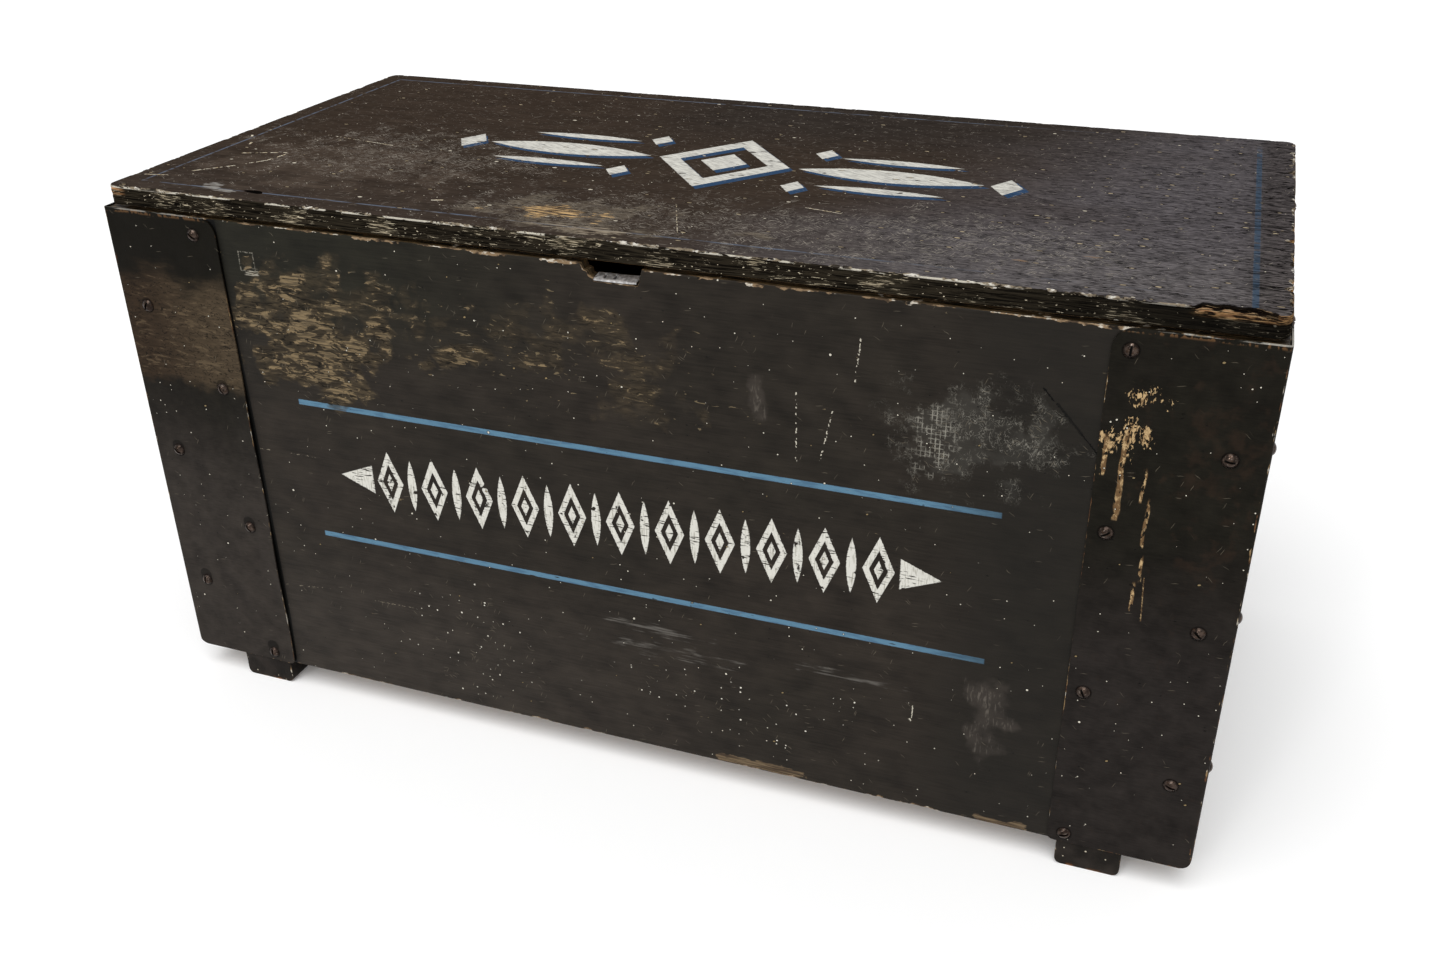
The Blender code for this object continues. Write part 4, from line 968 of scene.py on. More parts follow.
def layered(name, outline, rings, at, chips=None, far_chips=None, deep=None, groove=None, ragged=None,
            reach=None, seed=0):
    """A board from an outline, with rings of points through its thickness. at(a, b, depth) places a point.

    reach is the share of the rings' insets that each point takes, less than 1 where the outline is jagged.
    """
    count = len(outline)
    none = [0.0] * count
    chips, far_chips, deep, groove = (given or none for given in (chips, far_chips, deep, groove))
    ragged, reach = ragged or none, reach or [1.0] * count
    normals = inward(outline)
    bm = bmesh.new()
    worn = bm.verts.layers.float.new("bare")
    loops = []
    for ring in rings:
        loop = []
        for i, ((a, b), (na, nb)) in enumerate(zip(outline, normals)):
            inset = (ring.inset * reach[i] + ring.chip * chips[i] + ring.far * far_chips[i]
                     + ring.deep * deep[i] + ring.groove * groove[i])
            rough = ragged[i] * noise.noise(Vector((a * 700, b * 700, ring.depth * 500 + seed)))
            vert = bm.verts.new(at(a + na * (inset + rough), b + nb * (inset + rough), ring.depth))
            broken = (ring.chip * chips[i] + ring.far * far_chips[i]) / 0.0012 + (deep[i] > 0 and ring.deep)
            uneven = 0.72 + 0.55 * wander((a, b), 0.03, seed + 5)
            vert[worn] = max(0.0, min(1.0, ring.wear * uneven + min(broken, 1.0) * min(1, ring.wear * 2)))
            loop.append(vert)
        loops.append(loop)
    bridge(bm, loops)
    for loop in (loops[0], loops[-1][::-1]):
        bm.faces.new(loop)
    return closed_mesh(bm, name)


def board_mesh(name, outline, thickness, at, seed, share=0.12, depth=None, plies=3):
    """A plywood board with worn edges on both faces and shallow steps between its plies."""
    depth = looks().chip_depth if depth is None else depth
    face = face_rings()
    middle = []
    inner = thickness - 2 * VENEER
    for i in range(plies):
        start = VENEER + inner * i / plies
        end = VENEER + inner * (i + 1) / plies
        sink = 0.00025 if i % 2 == 0 else 0.0
        middle += [Ring(start + 0.0001, sink, 0.3, 0.1), Ring(end - 0.0001, sink, 0.3, far=0.1)]
    rings = face + middle + mirrored(face, thickness)
    low, high = ([pick(point[i] for point in outline) for i in range(2)] for pick in (min, max))
    return layered(name, outline, rings, at, chipped(outline, seed, 0.016, share, depth),
                   chipped(outline, seed + 7, 0.016, share, depth), ragged=[0.00012] * len(outline),
                   reach=mitred(outline, low, high), seed=seed)


def stick_mesh(name, low, high, along, radii, seed):
    """A batten between two corners, its long edges rounded and its length slightly uneven."""
    across = [i for i in range(3) if i != along]
    corners = [[end[i] for i in across] for end in (low, high)]
    outline = dense(rounded(*corners, radii, 6), 0.0016)
    length = high[along] - low[along]

    def at(a, b, depth):
        point = [0.0, 0.0, 0.0]
        point[across[0]], point[across[1]], point[along] = a, b, low[along] + depth
        return point

    edge = 0.0006
    near = [Ring(0, 0.003), Ring(0, edge, 0.6), Ring(edge * 0.3, edge * 0.3, 0.7),
            Ring(edge, 0, 0.4), Ring(0.006, 0, 0.1)]
    bays = max(2, round(length / 0.02))
    middle = [Ring(0.006 + (length - 0.012) * i / bays, 0, 0.08) for i in range(1, bays)]
    rings = near + middle + mirrored(near, length)
    return layered(name, outline, rings, at, ragged=[0.00015] * len(outline), reach=mitred(outline, *corners),
                   seed=seed)


# Pieces.


def make_lid():
    """The lid board, with its broken right front corner."""
    low, high = LID_LOW, LID_HIGH
    thickness = high.z - low.z
    outline = dense(rounded(low[:2], high[:2], [LID_ROUND] * 4))
    chips = chipped(outline, 2, 0.014, 0.24, looks().chip_depth)
    under_chips = chipped(outline, 5, 0.018, 0.16, looks().chip_depth)
    deep, groove = [], []
    start, end = CORNER.x + BREAK_START, CORNER.x + BREAK_END
    flush = 0.0004
    for i, (a, b) in enumerate(outline):
        front = b < low.y + flush
        share = (a - start) / (end - start)
        inside = front and 0 < share < 1
        rise = min(1.0, share / 0.08, (1.04 - share) / 0.3) if inside else 0
        jag = 0.85 + 0.3 * wander((a, b), 0.006, 9)
        deep.append(BREAK_DEPTH * max(0.0, rise) * jag)
        near = front and start - 0.03 < a
        fade = min(1, (a - start + 0.03) / 0.01)
        groove.append((0.004 + 0.0015 * wander((a, b), 0.02, 3)) * fade if near else 0.0)
        if a > high.x - flush:
            nick = wander((a, b), 0.011, 21)
            chips[i] += max(0.0, nick - 0.28) * 0.012
            under_chips[i] += max(0.0, nick - 0.36) * 0.010
    face = face_rings(0.0011)
    rings = face + [
        Ring(VENEER, 0, 0.2, 0.1, 1, 1),
        Ring(VENEER + 0.0005, 0, 0.2, 0.1, 1, 1),
        Ring(VENEER + 0.0006, 0.0002, 0.5, 0.1, 0.8),
        Ring(BREAK_HEIGHT - 0.0004, 0.0002, 0.4, 0.05, 0.6),
        Ring(BREAK_HEIGHT, 0, 0.4),
        Ring(0.0064, 0, 0.3),
        Ring(0.0066, 0.0003, 0.3),
        Ring(0.0096, 0.0003, 0.3),
        Ring(0.0098, 0, 0.3),
        Ring(0.0125, 0.0001, 0.3, far=0.1),
    ] + mirrored(face_rings(0.0011), thickness, 0.3)
    mesh = layered("lid_board", outline, rings, lambda a, b, depth: (a, b, high.z - depth), chips,
                   under_chips, deep, groove, [0.00018] * len(outline), seed=3)
    shown(mesh, lid_finish(), "lid", "painted_wood", "lid_panel")


def notch_points():
    """The ragged break in the front's top edge, from its right to its left, with the keeper on its floor."""
    low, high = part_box("keeper_plate")
    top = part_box("front_panel")[1].z
    left, right = low.x - NOTCH_SIDE_GAPS[0], high.x + NOTCH_SIDE_GAPS[1]
    floor = low.z - 0.0003
    deep = top - floor
    shares = [(1, 0), (0.985, 0.25), (0.95, 0.55), (0.955, 0.7), (0.93, 1), (0.21, 1), (0.19, 0.82),
              (0.13, 0.72), (0.105, 0.45), (0.04, 0.38), (0.02, 0.2), (0, 0)]
    return [(left + (right - left) * x, top - deep * y) for x, y in shares]


def make_front():
    """The front panel, with the broken notch in its top edge."""
    low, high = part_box("front_panel")
    foot = FOOT_ROUND - PANEL_INSET
    frame_points = rounded((low.x, low.z), (high.x, high.z), (foot, foot, 0.001, 0.001))
    corner = len(frame_points) // 4 * 3
    notch = notch_points()
    outline = dense(frame_points[:corner] + notch + frame_points[corner:])
    left, right = notch[-1][0], notch[0][0]
    in_notch = [left - 0.001 < a < right + 0.001 and b > high.z - 0.02 for a, b in outline]
    chips = chipped(outline, 12, 0.024, 0.24, looks().chip_depth * 0.6)
    far = chipped(outline, 17, 0.03, 0.12, looks().chip_depth)
    chips = [0.0003 if hit else c for c, hit in zip(chips, in_notch)]
    far = [0.0002 if hit else c for c, hit in zip(far, in_notch)]
    ragged = [0.0006 if hit else 0.00015 for hit in in_notch]
    thickness = high.y - low.y
    face = face_rings()
    core = [Ring(VENEER + 0.0001, 0.0001, 0.55, 0.1), Ring(0.004, 0.0001, 0.5),
            Ring(0.0042, 0.0004, 0.5), Ring(0.0078, 0.0004, 0.5),
            Ring(0.008, 0, 0.5), Ring(thickness - VENEER - 0.0001, 0, 0.5, far=0.1)]
    rings = face + core + mirrored(face, thickness)
    reach = mitred(outline, (low.x, low.z), (high.x, high.z))
    reach = [0.12 if hit else share for hit, share in zip(in_notch, reach)]
    mesh = layered("front_board", outline, rings, lambda a, b, depth: (a, low.y + depth, b), chips, far,
                   ragged=ragged, reach=reach, seed=8)
    shown(mesh, front_finish(), "case", "painted_wood", "front_panel")


def make_boards():
    """The back, the two ends and the floor."""
    finish = case_finish()
    low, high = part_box("back_panel")
    foot = FOOT_ROUND - PANEL_INSET
    outline = dense(rounded((low.x, low.z), (high.x, high.z), (foot, foot, 0.001, 0.001)))
    back, thick = high.y, high.y - low.y
    mesh = board_mesh("back_board", outline, thick, lambda a, b, depth: (a, back - depth, b), 31)
    shown(mesh, finish, "case", "painted_wood", "back_panel")
    for side, sign in (("left", -1), ("right", 1)):
        node = f"{side}_end_panel"
        low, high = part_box(node)
        face = high.x if sign > 0 else low.x
        outline = dense(rounded((low.y, low.z), (high.y, high.z), (0.001, 0.001, 0.001, 0.001)))
        place = end_place(face, sign, low.z)
        mesh = board_mesh(f"{side}_end_board", outline, high.x - low.x, place, 33 + sign)
        shown(mesh, finish, "case", "painted_wood", node)
    low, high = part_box("floor_panel")
    outline = dense(rounded(low[:2], high[:2], [0.001] * 4), 0.004)
    top = high.z
    mesh = board_mesh("floor_board", outline, high.z - low.z, lambda a, b, depth: (a, b, top - depth), 37,
                      0.05, 0.001)
    shown(mesh, stick_finish("floor_wood", paint=False), "case", "bare_wood", "floor_panel")


def foot_rise(reach, up, fade):
    """How far the rounding of the foot lifts a point, by how far it lies in from the end and how high."""
    rise = FOOT_ROUND - math.sqrt(max(0.0, FOOT_ROUND**2 - max(0.0, FOOT_ROUND - reach) ** 2))
    return rise * max(0.0, 1 - up / fade)


def end_place(face, sign, bottom):
    """Places an end's points, its lower outer edge lifted along the rounding of the foot."""
    return lambda a, b, depth: (face - sign * depth, a, b + foot_rise(PANEL_INSET + depth, b - bottom, 0.04))


def make_bearers():
    """The two battens under the case."""
    finish = stick_finish("bearer_paint", paint=True)
    for i, side in enumerate(("left", "right")):
        node = f"{side}_bearer"
        low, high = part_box(node)
        mesh = stick_mesh(f"{side}_bearer_batten", low, high, 1, (0.006, 0.006, 0.001, 0.001), 51 + i)
        shown(mesh, finish, "case", "painted_wood", node)


def make_inner_frame():
    """The posts, the hinge rail and the lid's battens, all of bare wood."""
    upright = stick_finish("post_wood", paint=False)
    level = stick_finish("batten_wood", paint=False)
    posts = [f"{a}_{b}_post" for a in ("front", "back") for b in ("left", "right")]
    for i, node in enumerate(posts):
        mesh = stick_mesh(f"{node}_stick", *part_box(node), 2, [STICK_ROUND] * 4, 61 + i)
        shown(mesh, upright, "case", "bare_wood", node)
    mesh = stick_mesh("hinge_rail_stick", *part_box("hinge_rail"), 0, [STICK_ROUND] * 4, 66)
    shown(mesh, level, "case", "bare_wood", "hinge_rail")
    for i, side in enumerate(("left", "right")):
        node = f"{side}_lid_batten"
        mesh = stick_mesh(f"{node}_stick", *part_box(node), 1, [STICK_ROUND] * 4, 67 + i)
        shown(mesh, level, "lid", "bare_wood", node)


def graded(start, end, step, edge):
    """Distances from start to end, one step apart, with closer ones at both ends."""
    parts = max(2, round((end - start - 2 * edge[-1]) / step))
    first, last = start + edge[-1], end - edge[-1]
    middle = [first + (last - first) * i / parts for i in range(parts + 1)]
    return [start, *(start + e for e in edge[:-1]), *middle, *(end - e for e in reversed(edge[:-1])), end]


def plate_mesh(name, corner, side, front, lift, seed):
    """A bent corner plate. side and front are -1 or 1 and say which corner it is on."""
    leg, height = PLATE_LEG, PLATE_HEIGHT
    edge = (0.0005, 0.0014, 0.003, 0.006)
    flats = graded(PLATE_BEND, leg, PLATE_GRID, edge)
    stops = [("end", d) for d in reversed(flats)]
    stops += [("bend", i / 6) for i in range(1, 6)]
    stops += [("front", d) for d in flats]
    ups = graded(0.0, height, PLATE_GRID, edge)
    bm = bmesh.new()
    worn = bm.verts.layers.float.new("bare")

    def point(stop, z, sink):
        kind, d = stop
        if kind == "bend":
            angle = math.pi / 2 * d
            x = PLATE_BEND - (PLATE_BEND - sink) * math.cos(angle)
            y = PLATE_BEND - (PLATE_BEND - sink) * math.sin(angle)
            free, along = leg, PLATE_BEND
            reach = PLATE_BEND * (1 - math.cos(angle))
        else:
            d, z = eased(d, z, leg, height)
            x, y = (sink, d) if kind == "end" else (d, sink)
            free, along = leg - d, d
            reach = d if kind == "front" else 0.0
        z += foot_rise(reach, z, 0.045)
        wave = 0.00022 * noise.noise(Vector((d * 14 + seed, z * 9, seed * 2.1)))
        dent = 0.00012 * noise.noise(Vector((d * 55, z * 50, seed + 4.0)))
        off = wave + dent
        if kind == "front":
            curl = max(0.0, 1 - free / 0.024) ** 2
            swing = 0.55 + 0.45 * math.sin(z / 0.136 * 2 * math.pi + seed)
            off += curl * lift * (0.25 + 0.75 * (1 - z / height)) * swing
            y -= off
        elif kind == "end":
            x -= off
        wear = max(math.exp(-free / 0.0012), 0.85 * math.exp(-max(0.0, along - PLATE_BEND) / 0.0015),
                   math.exp(-(height - z) / 0.0012), math.exp(-z / 0.0015))
        wear *= 0.62 + 0.45 * noise.noise(Vector((d * 40, z * 22, seed + 9.0)))
        return (corner[0] - side * x, corner[1] - front * y, corner[2] + z), wear

    def vert_at(stop, z, sink):
        place, wear = point(stop, z, sink)
        vert = bm.verts.new(place)
        vert[worn] = max(0.0, min(1.0, wear)) if sink == 0 else 0.3
        return vert

    grids = [[[vert_at(stop, z, sink) for z in ups] for stop in stops] for sink in (0.0, PLATE_SHEET)]
    for grid in grids:
        for a, b in zip(grid, grid[1:]):
            for k in range(len(ups) - 1):
                bm.faces.new((a[k], a[k + 1], b[k + 1], b[k])).smooth = True
    rims = [grid[0] + [row[-1] for row in grid[1:-1]] + grid[-1][::-1] + [row[0] for row in grid[-2:0:-1]]
            for grid in grids]
    bridge(bm, rims, smooth=False)
    return closed_mesh(bm, name, 50)


def eased(d, z, leg, height):
    """Moves a point of a square corner onto a round one, at the top and the foot of a leg's free edge."""
    corners = ((PLATE_ROUND, height - PLATE_ROUND, 1), (PLATE_LOW_ROUND, PLATE_LOW_ROUND, -1))
    for radius, centre_z, away in corners:
        a, b = d - (leg - radius), (z - centre_z) * away
        if a > 0 and b > 0:
            scale = max(a, b) / math.hypot(a, b)
            return leg - radius + a * scale, centre_z + away * b * scale
    return d, z


def make_plates():
    """The four corner plates."""
    left_x, right_x = CORNER.x, CORNER.x + CASE_WIDTH
    left, right = ([place for place, _ in screw_places(side)] for side in ("left", "right"))
    plain = plate_finish("back_plate_paint", [place for place, _ in behind("left") + behind("right")])
    left_finish = plate_finish("left_plate_paint", left, left_plate_marks)
    right_finish = plate_finish("right_plate_paint", right, right_plate_marks)
    corners = {
        "front_left": (left_x, CORNER.y, -1, -1, looks().plate_lift, left_finish),
        "front_right": (right_x, CORNER.y, 1, -1, 0.0002, right_finish),
        "back_right": (right_x, CASE_BACK, 1, 1, 0.0006, plain),
        "back_left": (left_x, CASE_BACK, -1, 1, 0.0008, plain),
    }
    for i, (name, (x, y, side, front, lift, finish)) in enumerate(corners.items()):
        mesh = plate_mesh(f"{name}_plate", (x, y, CORNER.z), side, front, lift, 3.0 + i)
        shown(mesh, finish, "case", "painted_steel", f"{name}_corner_plate")


def head_mesh(name, radius, height, slot_width, slot_depth):
    """A slotted round head, its seat at z = 0."""
    ball = (radius**2 + height**2) / (2 * height)
    reach = math.asin(radius / ball)
    bows = [reach * i / 6 for i in range(7)]
    profile = [(ball * math.sin(a), height - ball * (1 - math.cos(a))) for a in bows]
    profile += [(radius * 1.01, -0.0001), (0.0, -0.0001)]
    profile[-3] = (radius, 0.0003)
    bm = bmesh.new()
    sides = 20
    turns = [2 * math.pi * i / sides for i in range(sides)]
    rings = [[bm.verts.new((r * math.cos(a), r * math.sin(a), z)) for a in turns] for r, z in profile[1:-1]]
    crown = bm.verts.new((0, 0, profile[0][1]))
    seat = bm.verts.new((0, 0, profile[-1][1]))
    for i in range(sides):
        j = (i + 1) % sides
        bm.faces.new((crown, rings[0][i], rings[0][j]))
        bm.faces.new((seat, rings[-1][j], rings[-1][i]))
        for upper, lower in zip(rings, rings[1:]):
            bm.faces.new((upper[i], lower[i], lower[j], upper[j]))
    half, lip = slot_width / 2, 0.00008
    for y in (-half - lip, -half, half, half + lip):
        bmesh.ops.bisect_plane(bm, geom=bm.verts[:] + bm.edges[:] + bm.faces[:], plane_co=(0, y, 0),
                               plane_no=(0, 1, 0))
    rim_shade_and_slot = bm.verts.layers.float.new("bare")
    # Painted shade darkens the head towards its rim, and the slot is filled dark.
    for vert in bm.verts:
        vert[rim_shade_and_slot] = max(0.0, vert.co.xy.length / radius - 0.74) * 3
        if abs(vert.co.y) < half + lip / 2:
            vert[rim_shade_and_slot] = float(vert.co.z > height - slot_depth)
            vert.co.z = min(vert.co.z, height - slot_depth)
    for face in bm.faces:
        face.smooth = True
    return closed_mesh(bm, name, 40)


def scatter_tree():
    """Heads on points, each turned to its point's outward direction, with its slot at random."""
    tree = bpy.data.node_groups.new("screw_heads", "GeometryNodeTree")
    wanted = {"Points": "Geometry", "Head": "Object", "Finish": "Material", "Size": "Float",
              "Size spread": "Float", "Seed": "Int"}
    ids = {}
    for name, kind in wanted.items():
        made = tree.interface.new_socket(name=name, in_out="INPUT", socket_type=f"NodeSocket{kind}")
        ids[name] = made.identifier
    tree.interface.new_socket(name="Heads", in_out="OUTPUT", socket_type="NodeSocketGeometry")

    node = partial(add_node, tree)
    given = node("NodeGroupInput").outputs
    outward = node("GeometryNodeInputNamedAttribute", {"data_type": "FLOAT_VECTOR"},
                   Name="outward").outputs[0]
    facing = node("FunctionNodeAlignRotationToVector", {"axis": "Z"}, Vector=outward).outputs[0]
    number = {"data_type": "FLOAT"}
    spin = node("FunctionNodeRandomValue", number, None, None, 0.0, 2 * math.pi, Seed=given["Seed"])
    turn = node("ShaderNodeCombineXYZ", Z=spin.outputs[1]).outputs[0]
    as_rotation = node("FunctionNodeEulerToRotation", Euler=turn).outputs[0]
    rotation = node("FunctionNodeRotateRotation", {"rotation_space": "LOCAL"}, Rotation=facing,
                    Rotate_By=as_rotation)
    spread = node("FunctionNodeRandomValue", number, None, None, -1.0, 1.0, Seed=given["Seed"])
    change = node("ShaderNodeMath", {"operation": "MULTIPLY_ADD"}, spread.outputs[1], given["Size spread"],
                  given["Size"])
    head = node("GeometryNodeObjectInfo", Object=given["Head"]).outputs["Geometry"]
    placed = node("GeometryNodeInstanceOnPoints", Points=given["Points"], Instance=head,
                  Rotation=rotation.outputs[0], Scale=change.outputs[0]).outputs[0]
    real = node("GeometryNodeRealizeInstances", Geometry=placed).outputs[0]
    finished = node("GeometryNodeSetMaterial", Geometry=real, Material=given["Finish"]).outputs[0]
    tree.links.new(finished, node("NodeGroupOutput").inputs[0])
    return tree, ids


def scattered(name, places, head, finish, seed, spread=0.02):
    """One plain mesh of heads. places is a list of (point, outward direction)."""
    tree, ids = scatter_tree()
    mesh = bpy.data.meshes.new(f"{name}_points")
    mesh.from_pydata([place for place, _ in places], [], [])
    outward = mesh.attributes.new("outward", "FLOAT_VECTOR", "POINT")
    for entry, (_, direction) in zip(outward.data, places):
        entry.vector = direction
    source = bpy.data.objects.new(f"{name}_head", head)
    holder = bpy.data.objects.new(f"{name}_points", mesh)
    for obj in (source, holder):
        bpy.context.scene.collection.objects.link(obj)
    made = holder.modifiers.new("heads", "NODES")
    made.node_group = tree
    settings = {"Head": source, "Finish": finish, "Size": 1.0, "Size spread": spread, "Seed": seed}
    for key, value in settings.items():
        made[ids[key]] = value
    graph = bpy.context.evaluated_depsgraph_get()
    result = bpy.data.meshes.new_from_object(holder.evaluated_get(graph))
    result.name = name
    holder.modifiers.remove(made)
    for obj in (source, holder):
        bpy.data.objects.remove(obj)
    return result


def screw_places(side):
    """(place, direction) of each screw of a front plate, from its node."""
    made = []
    for number in range(1, 15):
        low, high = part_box(f"front_{side}_screw_{number:02d}")
        middle = (low + high) / 2
        if high.x - low.x > high.y - low.y:
            sign = -1 if side == "left" else 1
            seat = CORNER.x if side == "left" else CORNER.x + CASE_WIDTH
            made.append((Vector((seat, middle.y, middle.z)), Vector((sign, 0, 0))))
        else:
            made.append((Vector((middle.x, CORNER.y, middle.z)), Vector((0, -1, 0))))
    return made


def behind(side):
    """The same for the back plate on that side, which mirrors the front one."""
    return [(Vector((p.x, CORNER.y + CASE_BACK - p.y, p.z)), Vector((d.x, -d.y, 0)))
            for p, d in screw_places(side)]


def make_screws():
    """The round-head screws of the four plates, one mesh for each plate."""
    head = head_mesh("screw_head", looks().screw_radius, looks().screw_height, slot_width=0.0015,
                     slot_depth=0.0013)
    finish = steel_finish("screw_metal", (40, 33, 29), (76, 64, 57), metallic=1.0, roughness=0.12,
                          rust=(58, 42, 31), relief=0.15, specular=0.04)
    for side, front_seed, back_seed in (("left", 3, 5), ("right", 8, 6)):
        nodes = [f"front_{side}_screw_{number:02d}" for number in range(1, 15)]
        mesh = scattered(f"front_{side}_screws", screw_places(side), head.copy(), finish, front_seed)
        shown(mesh, finish, "case", "screw_steel", *nodes)
        mesh = scattered(f"back_{side}_screws", behind(side), head.copy(), finish, back_seed)
        shown(mesh, finish, "case", "screw_steel")


def make_keeper():
    """The catch's keeper: a worn bright plate with two slots."""
    low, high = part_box("keeper_plate")
    bm = bmesh.new()
    thick = high.z - low.z
    slots = [low.x + (high.x - low.x) * share for share in (0.22, 0.46)]
    edge, curled = 0.0006, high.x - 0.012
    xs = [low.x, low.x + edge]
    for slot in slots:
        xs += [slot - 0.0013, slot - 0.001, slot + 0.001, slot + 0.0013]
    xs += [curled, high.x - 0.006, high.x - edge, high.x]
    middle = (low.y + high.y) / 2
    ys = [low.y, low.y + edge, middle - 0.0033, middle - 0.003, middle + 0.003, middle + 0.0033,
          high.y - edge, high.y]

    def lifted(x, y, z):
        bend = 0.0006 * max(0.0, (x - curled) / 0.012) + 0.0018 * (y - low.y) / (high.y - low.y)
        ripple = 0.00012 * noise.noise(Vector((x * 300, y * 300, 1.0)))
        inset = 0.00025 if z == high.z and (x in (xs[0], xs[-1]) or y in (ys[0], ys[-1])) else 0
        return (x, y, z + bend + ripple - inset)

    tops = [[bm.verts.new(lifted(x, y, high.z)) for y in ys] for x in xs]
    bottoms = [[bm.verts.new(lifted(x, y, high.z - thick)) for y in ys] for x in xs]
    hole = {(i, j) for i in range(len(xs) - 1) for j in range(len(ys) - 1)
            if any(abs((xs[i] + xs[i + 1]) / 2 - s) < 0.0009 for s in slots) and 3 <= j < 4}
    for i in range(len(xs) - 1):
        for j in range(len(ys) - 1):
            if (i, j) in hole:
                continue
            bm.faces.new((tops[i][j], tops[i + 1][j], tops[i + 1][j + 1], tops[i][j + 1]))
            bm.faces.new((bottoms[i][j], bottoms[i][j + 1], bottoms[i + 1][j + 1], bottoms[i + 1][j]))
            edges = (((i, j), (1, 0), (i, j - 1)), ((i, j), (0, 1), (i - 1, j)),
                     ((i, j + 1), (1, 0), (i, j + 1)), ((i + 1, j), (0, 1), (i + 1, j)))
            for (p, q), (a, b), beyond in edges:
                outside = not (0 <= beyond[0] < len(xs) - 1 and 0 <= beyond[1] < len(ys) - 1)
                if outside or beyond in hole:
                    bm.faces.new((tops[p][q], tops[p + a][q + b], bottoms[p + a][q + b], bottoms[p][q]))
    mesh = closed_mesh(bm, "keeper", 30)
    finish = steel_finish("keeper_metal", (150, 148, 147), (212, 211, 210), metallic=0.7, roughness=0.32)
    shown(mesh, finish, "case", "keeper_steel", "keeper_plate")


def make_hinges():
    """The hinges' own solids in blackened iron, with a row of flat screws in each leaf."""
    finish = steel_finish("hinge_iron", (40, 36, 33), (72, 66, 60), metallic=0.6, roughness=0.45,
                          rust=(88, 56, 38))
    head = head_mesh("leaf_screw_head", 0.0034, 0.0003, slot_width=0.0009, slot_depth=0.00025)
    for side in ("left", "right"):
        for node in ("hinge_case_leaf", "hinge_lid_leaf", "hinge_pin"):
            paint_node(f"{side}_{node}", finish)
        for leaf, body, sign in (("case_leaf", "case", 1), ("lid_leaf", "lid", -1)):
            low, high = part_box(f"{side}_hinge_{leaf}")
            face = leaf_face(f"{side}_hinge_{leaf}", sign)
            places = [(Vector((low.x + (high.x - low.x) * share, low.y + 0.009 + 0.004 * (i % 2), face)),
                       Vector((0, 0, sign))) for i, share in enumerate((0.14, 0.38, 0.62, 0.86))]
            mesh = scattered(f"{side}_{leaf}_screws", places, head.copy(), finish, 21 + sign)
            shown(mesh, finish, body, "black_iron")


def leaf_face(node, sign):
    """The height of a leaf's open face, away from the knuckles."""
    obj = frame["nodes"][node]
    flat = [v.co.z for v in obj.data.vertices if v.co.y < HINGE_AXIS.y - 0.012]
    return max(flat) if sign > 0 else min(flat)


def paint_node(node, finish):
    """Gives a solid of the frame another finish."""
    obj = frame["nodes"][node]
    obj.data.materials.clear()
    obj.data.materials.append(finish)


def turned_at(side):
    """A placing of points given out from the trunk, along its end and up, about a handle's pivot."""
    sign = -1 if side == "left" else 1
    x, y, z = HANDLE_AXIS
    return lambda out, along, up: (sign * (x + out), y + along * sign, z + up)


def tube_mesh(name, path, radius, sides, place):
    """A closed tube along a path, with domed ends."""
    bm = bmesh.new()
    loops = []
    side_axis = Vector((1, 0, 0))
    turns = [2 * math.pi * n / sides for n in range(sides)]
    stretches = [(path[0], 0.35), *((p, 1.0) for p in path), (path[-1], 0.35)]
    for k, (point, share) in enumerate(stretches):
        i = min(max(k - 1, 0), len(path) - 1)
        ahead = (path[min(i + 1, len(path) - 1)] - path[max(i - 1, 0)]).normalized()
        end = -0.0008 if k == 0 else 0.0008 if k == len(stretches) - 1 else 0.0
        across = side_axis.cross(ahead).normalized()
        centre = point + ahead * end
        wide, tall = side_axis * radius * share, across * radius * share
        ring = [centre + wide * math.cos(a) + tall * math.sin(a) for a in turns]
        loops.append([bm.verts.new(place(*where)) for where in ring])
    bridge(bm, loops)
    for loop in (loops[0], loops[-1][::-1]):
        bm.faces.new(loop)
    return closed_mesh(bm, name, 60)


def bail_points(node):
    """The bail's centre line about its pivot, from one eye down and round to the other."""
    low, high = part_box(node)
    radius = (high.x - low.x) / 2
    half, drop = (high.y - low.y) / 2 - radius, HANDLE_AXIS.z - low.z - radius
    end, bend, steps = 0.034, 0.010, 10
    corners = [(-end, 0), (-half, 0), (-half, -drop), (half, -drop), (half, 0), (end, 0)]
    made = [Vector((0, *corners[0]))]
    for before, corner, after in zip(corners, corners[1:], corners[2:]):
        before, corner, after = (Vector((0, *p)) for p in (before, corner, after))
        into, away = (corner - before).normalized(), (after - corner).normalized()
        middle = corner + (away - into) * bend
        made += [middle - away * bend * math.cos(math.pi / 2 * i / steps)
                 + into * bend * math.sin(math.pi / 2 * i / steps) for i in range(steps + 1)]
    return made + [Vector((0, *corners[-1]))], radius


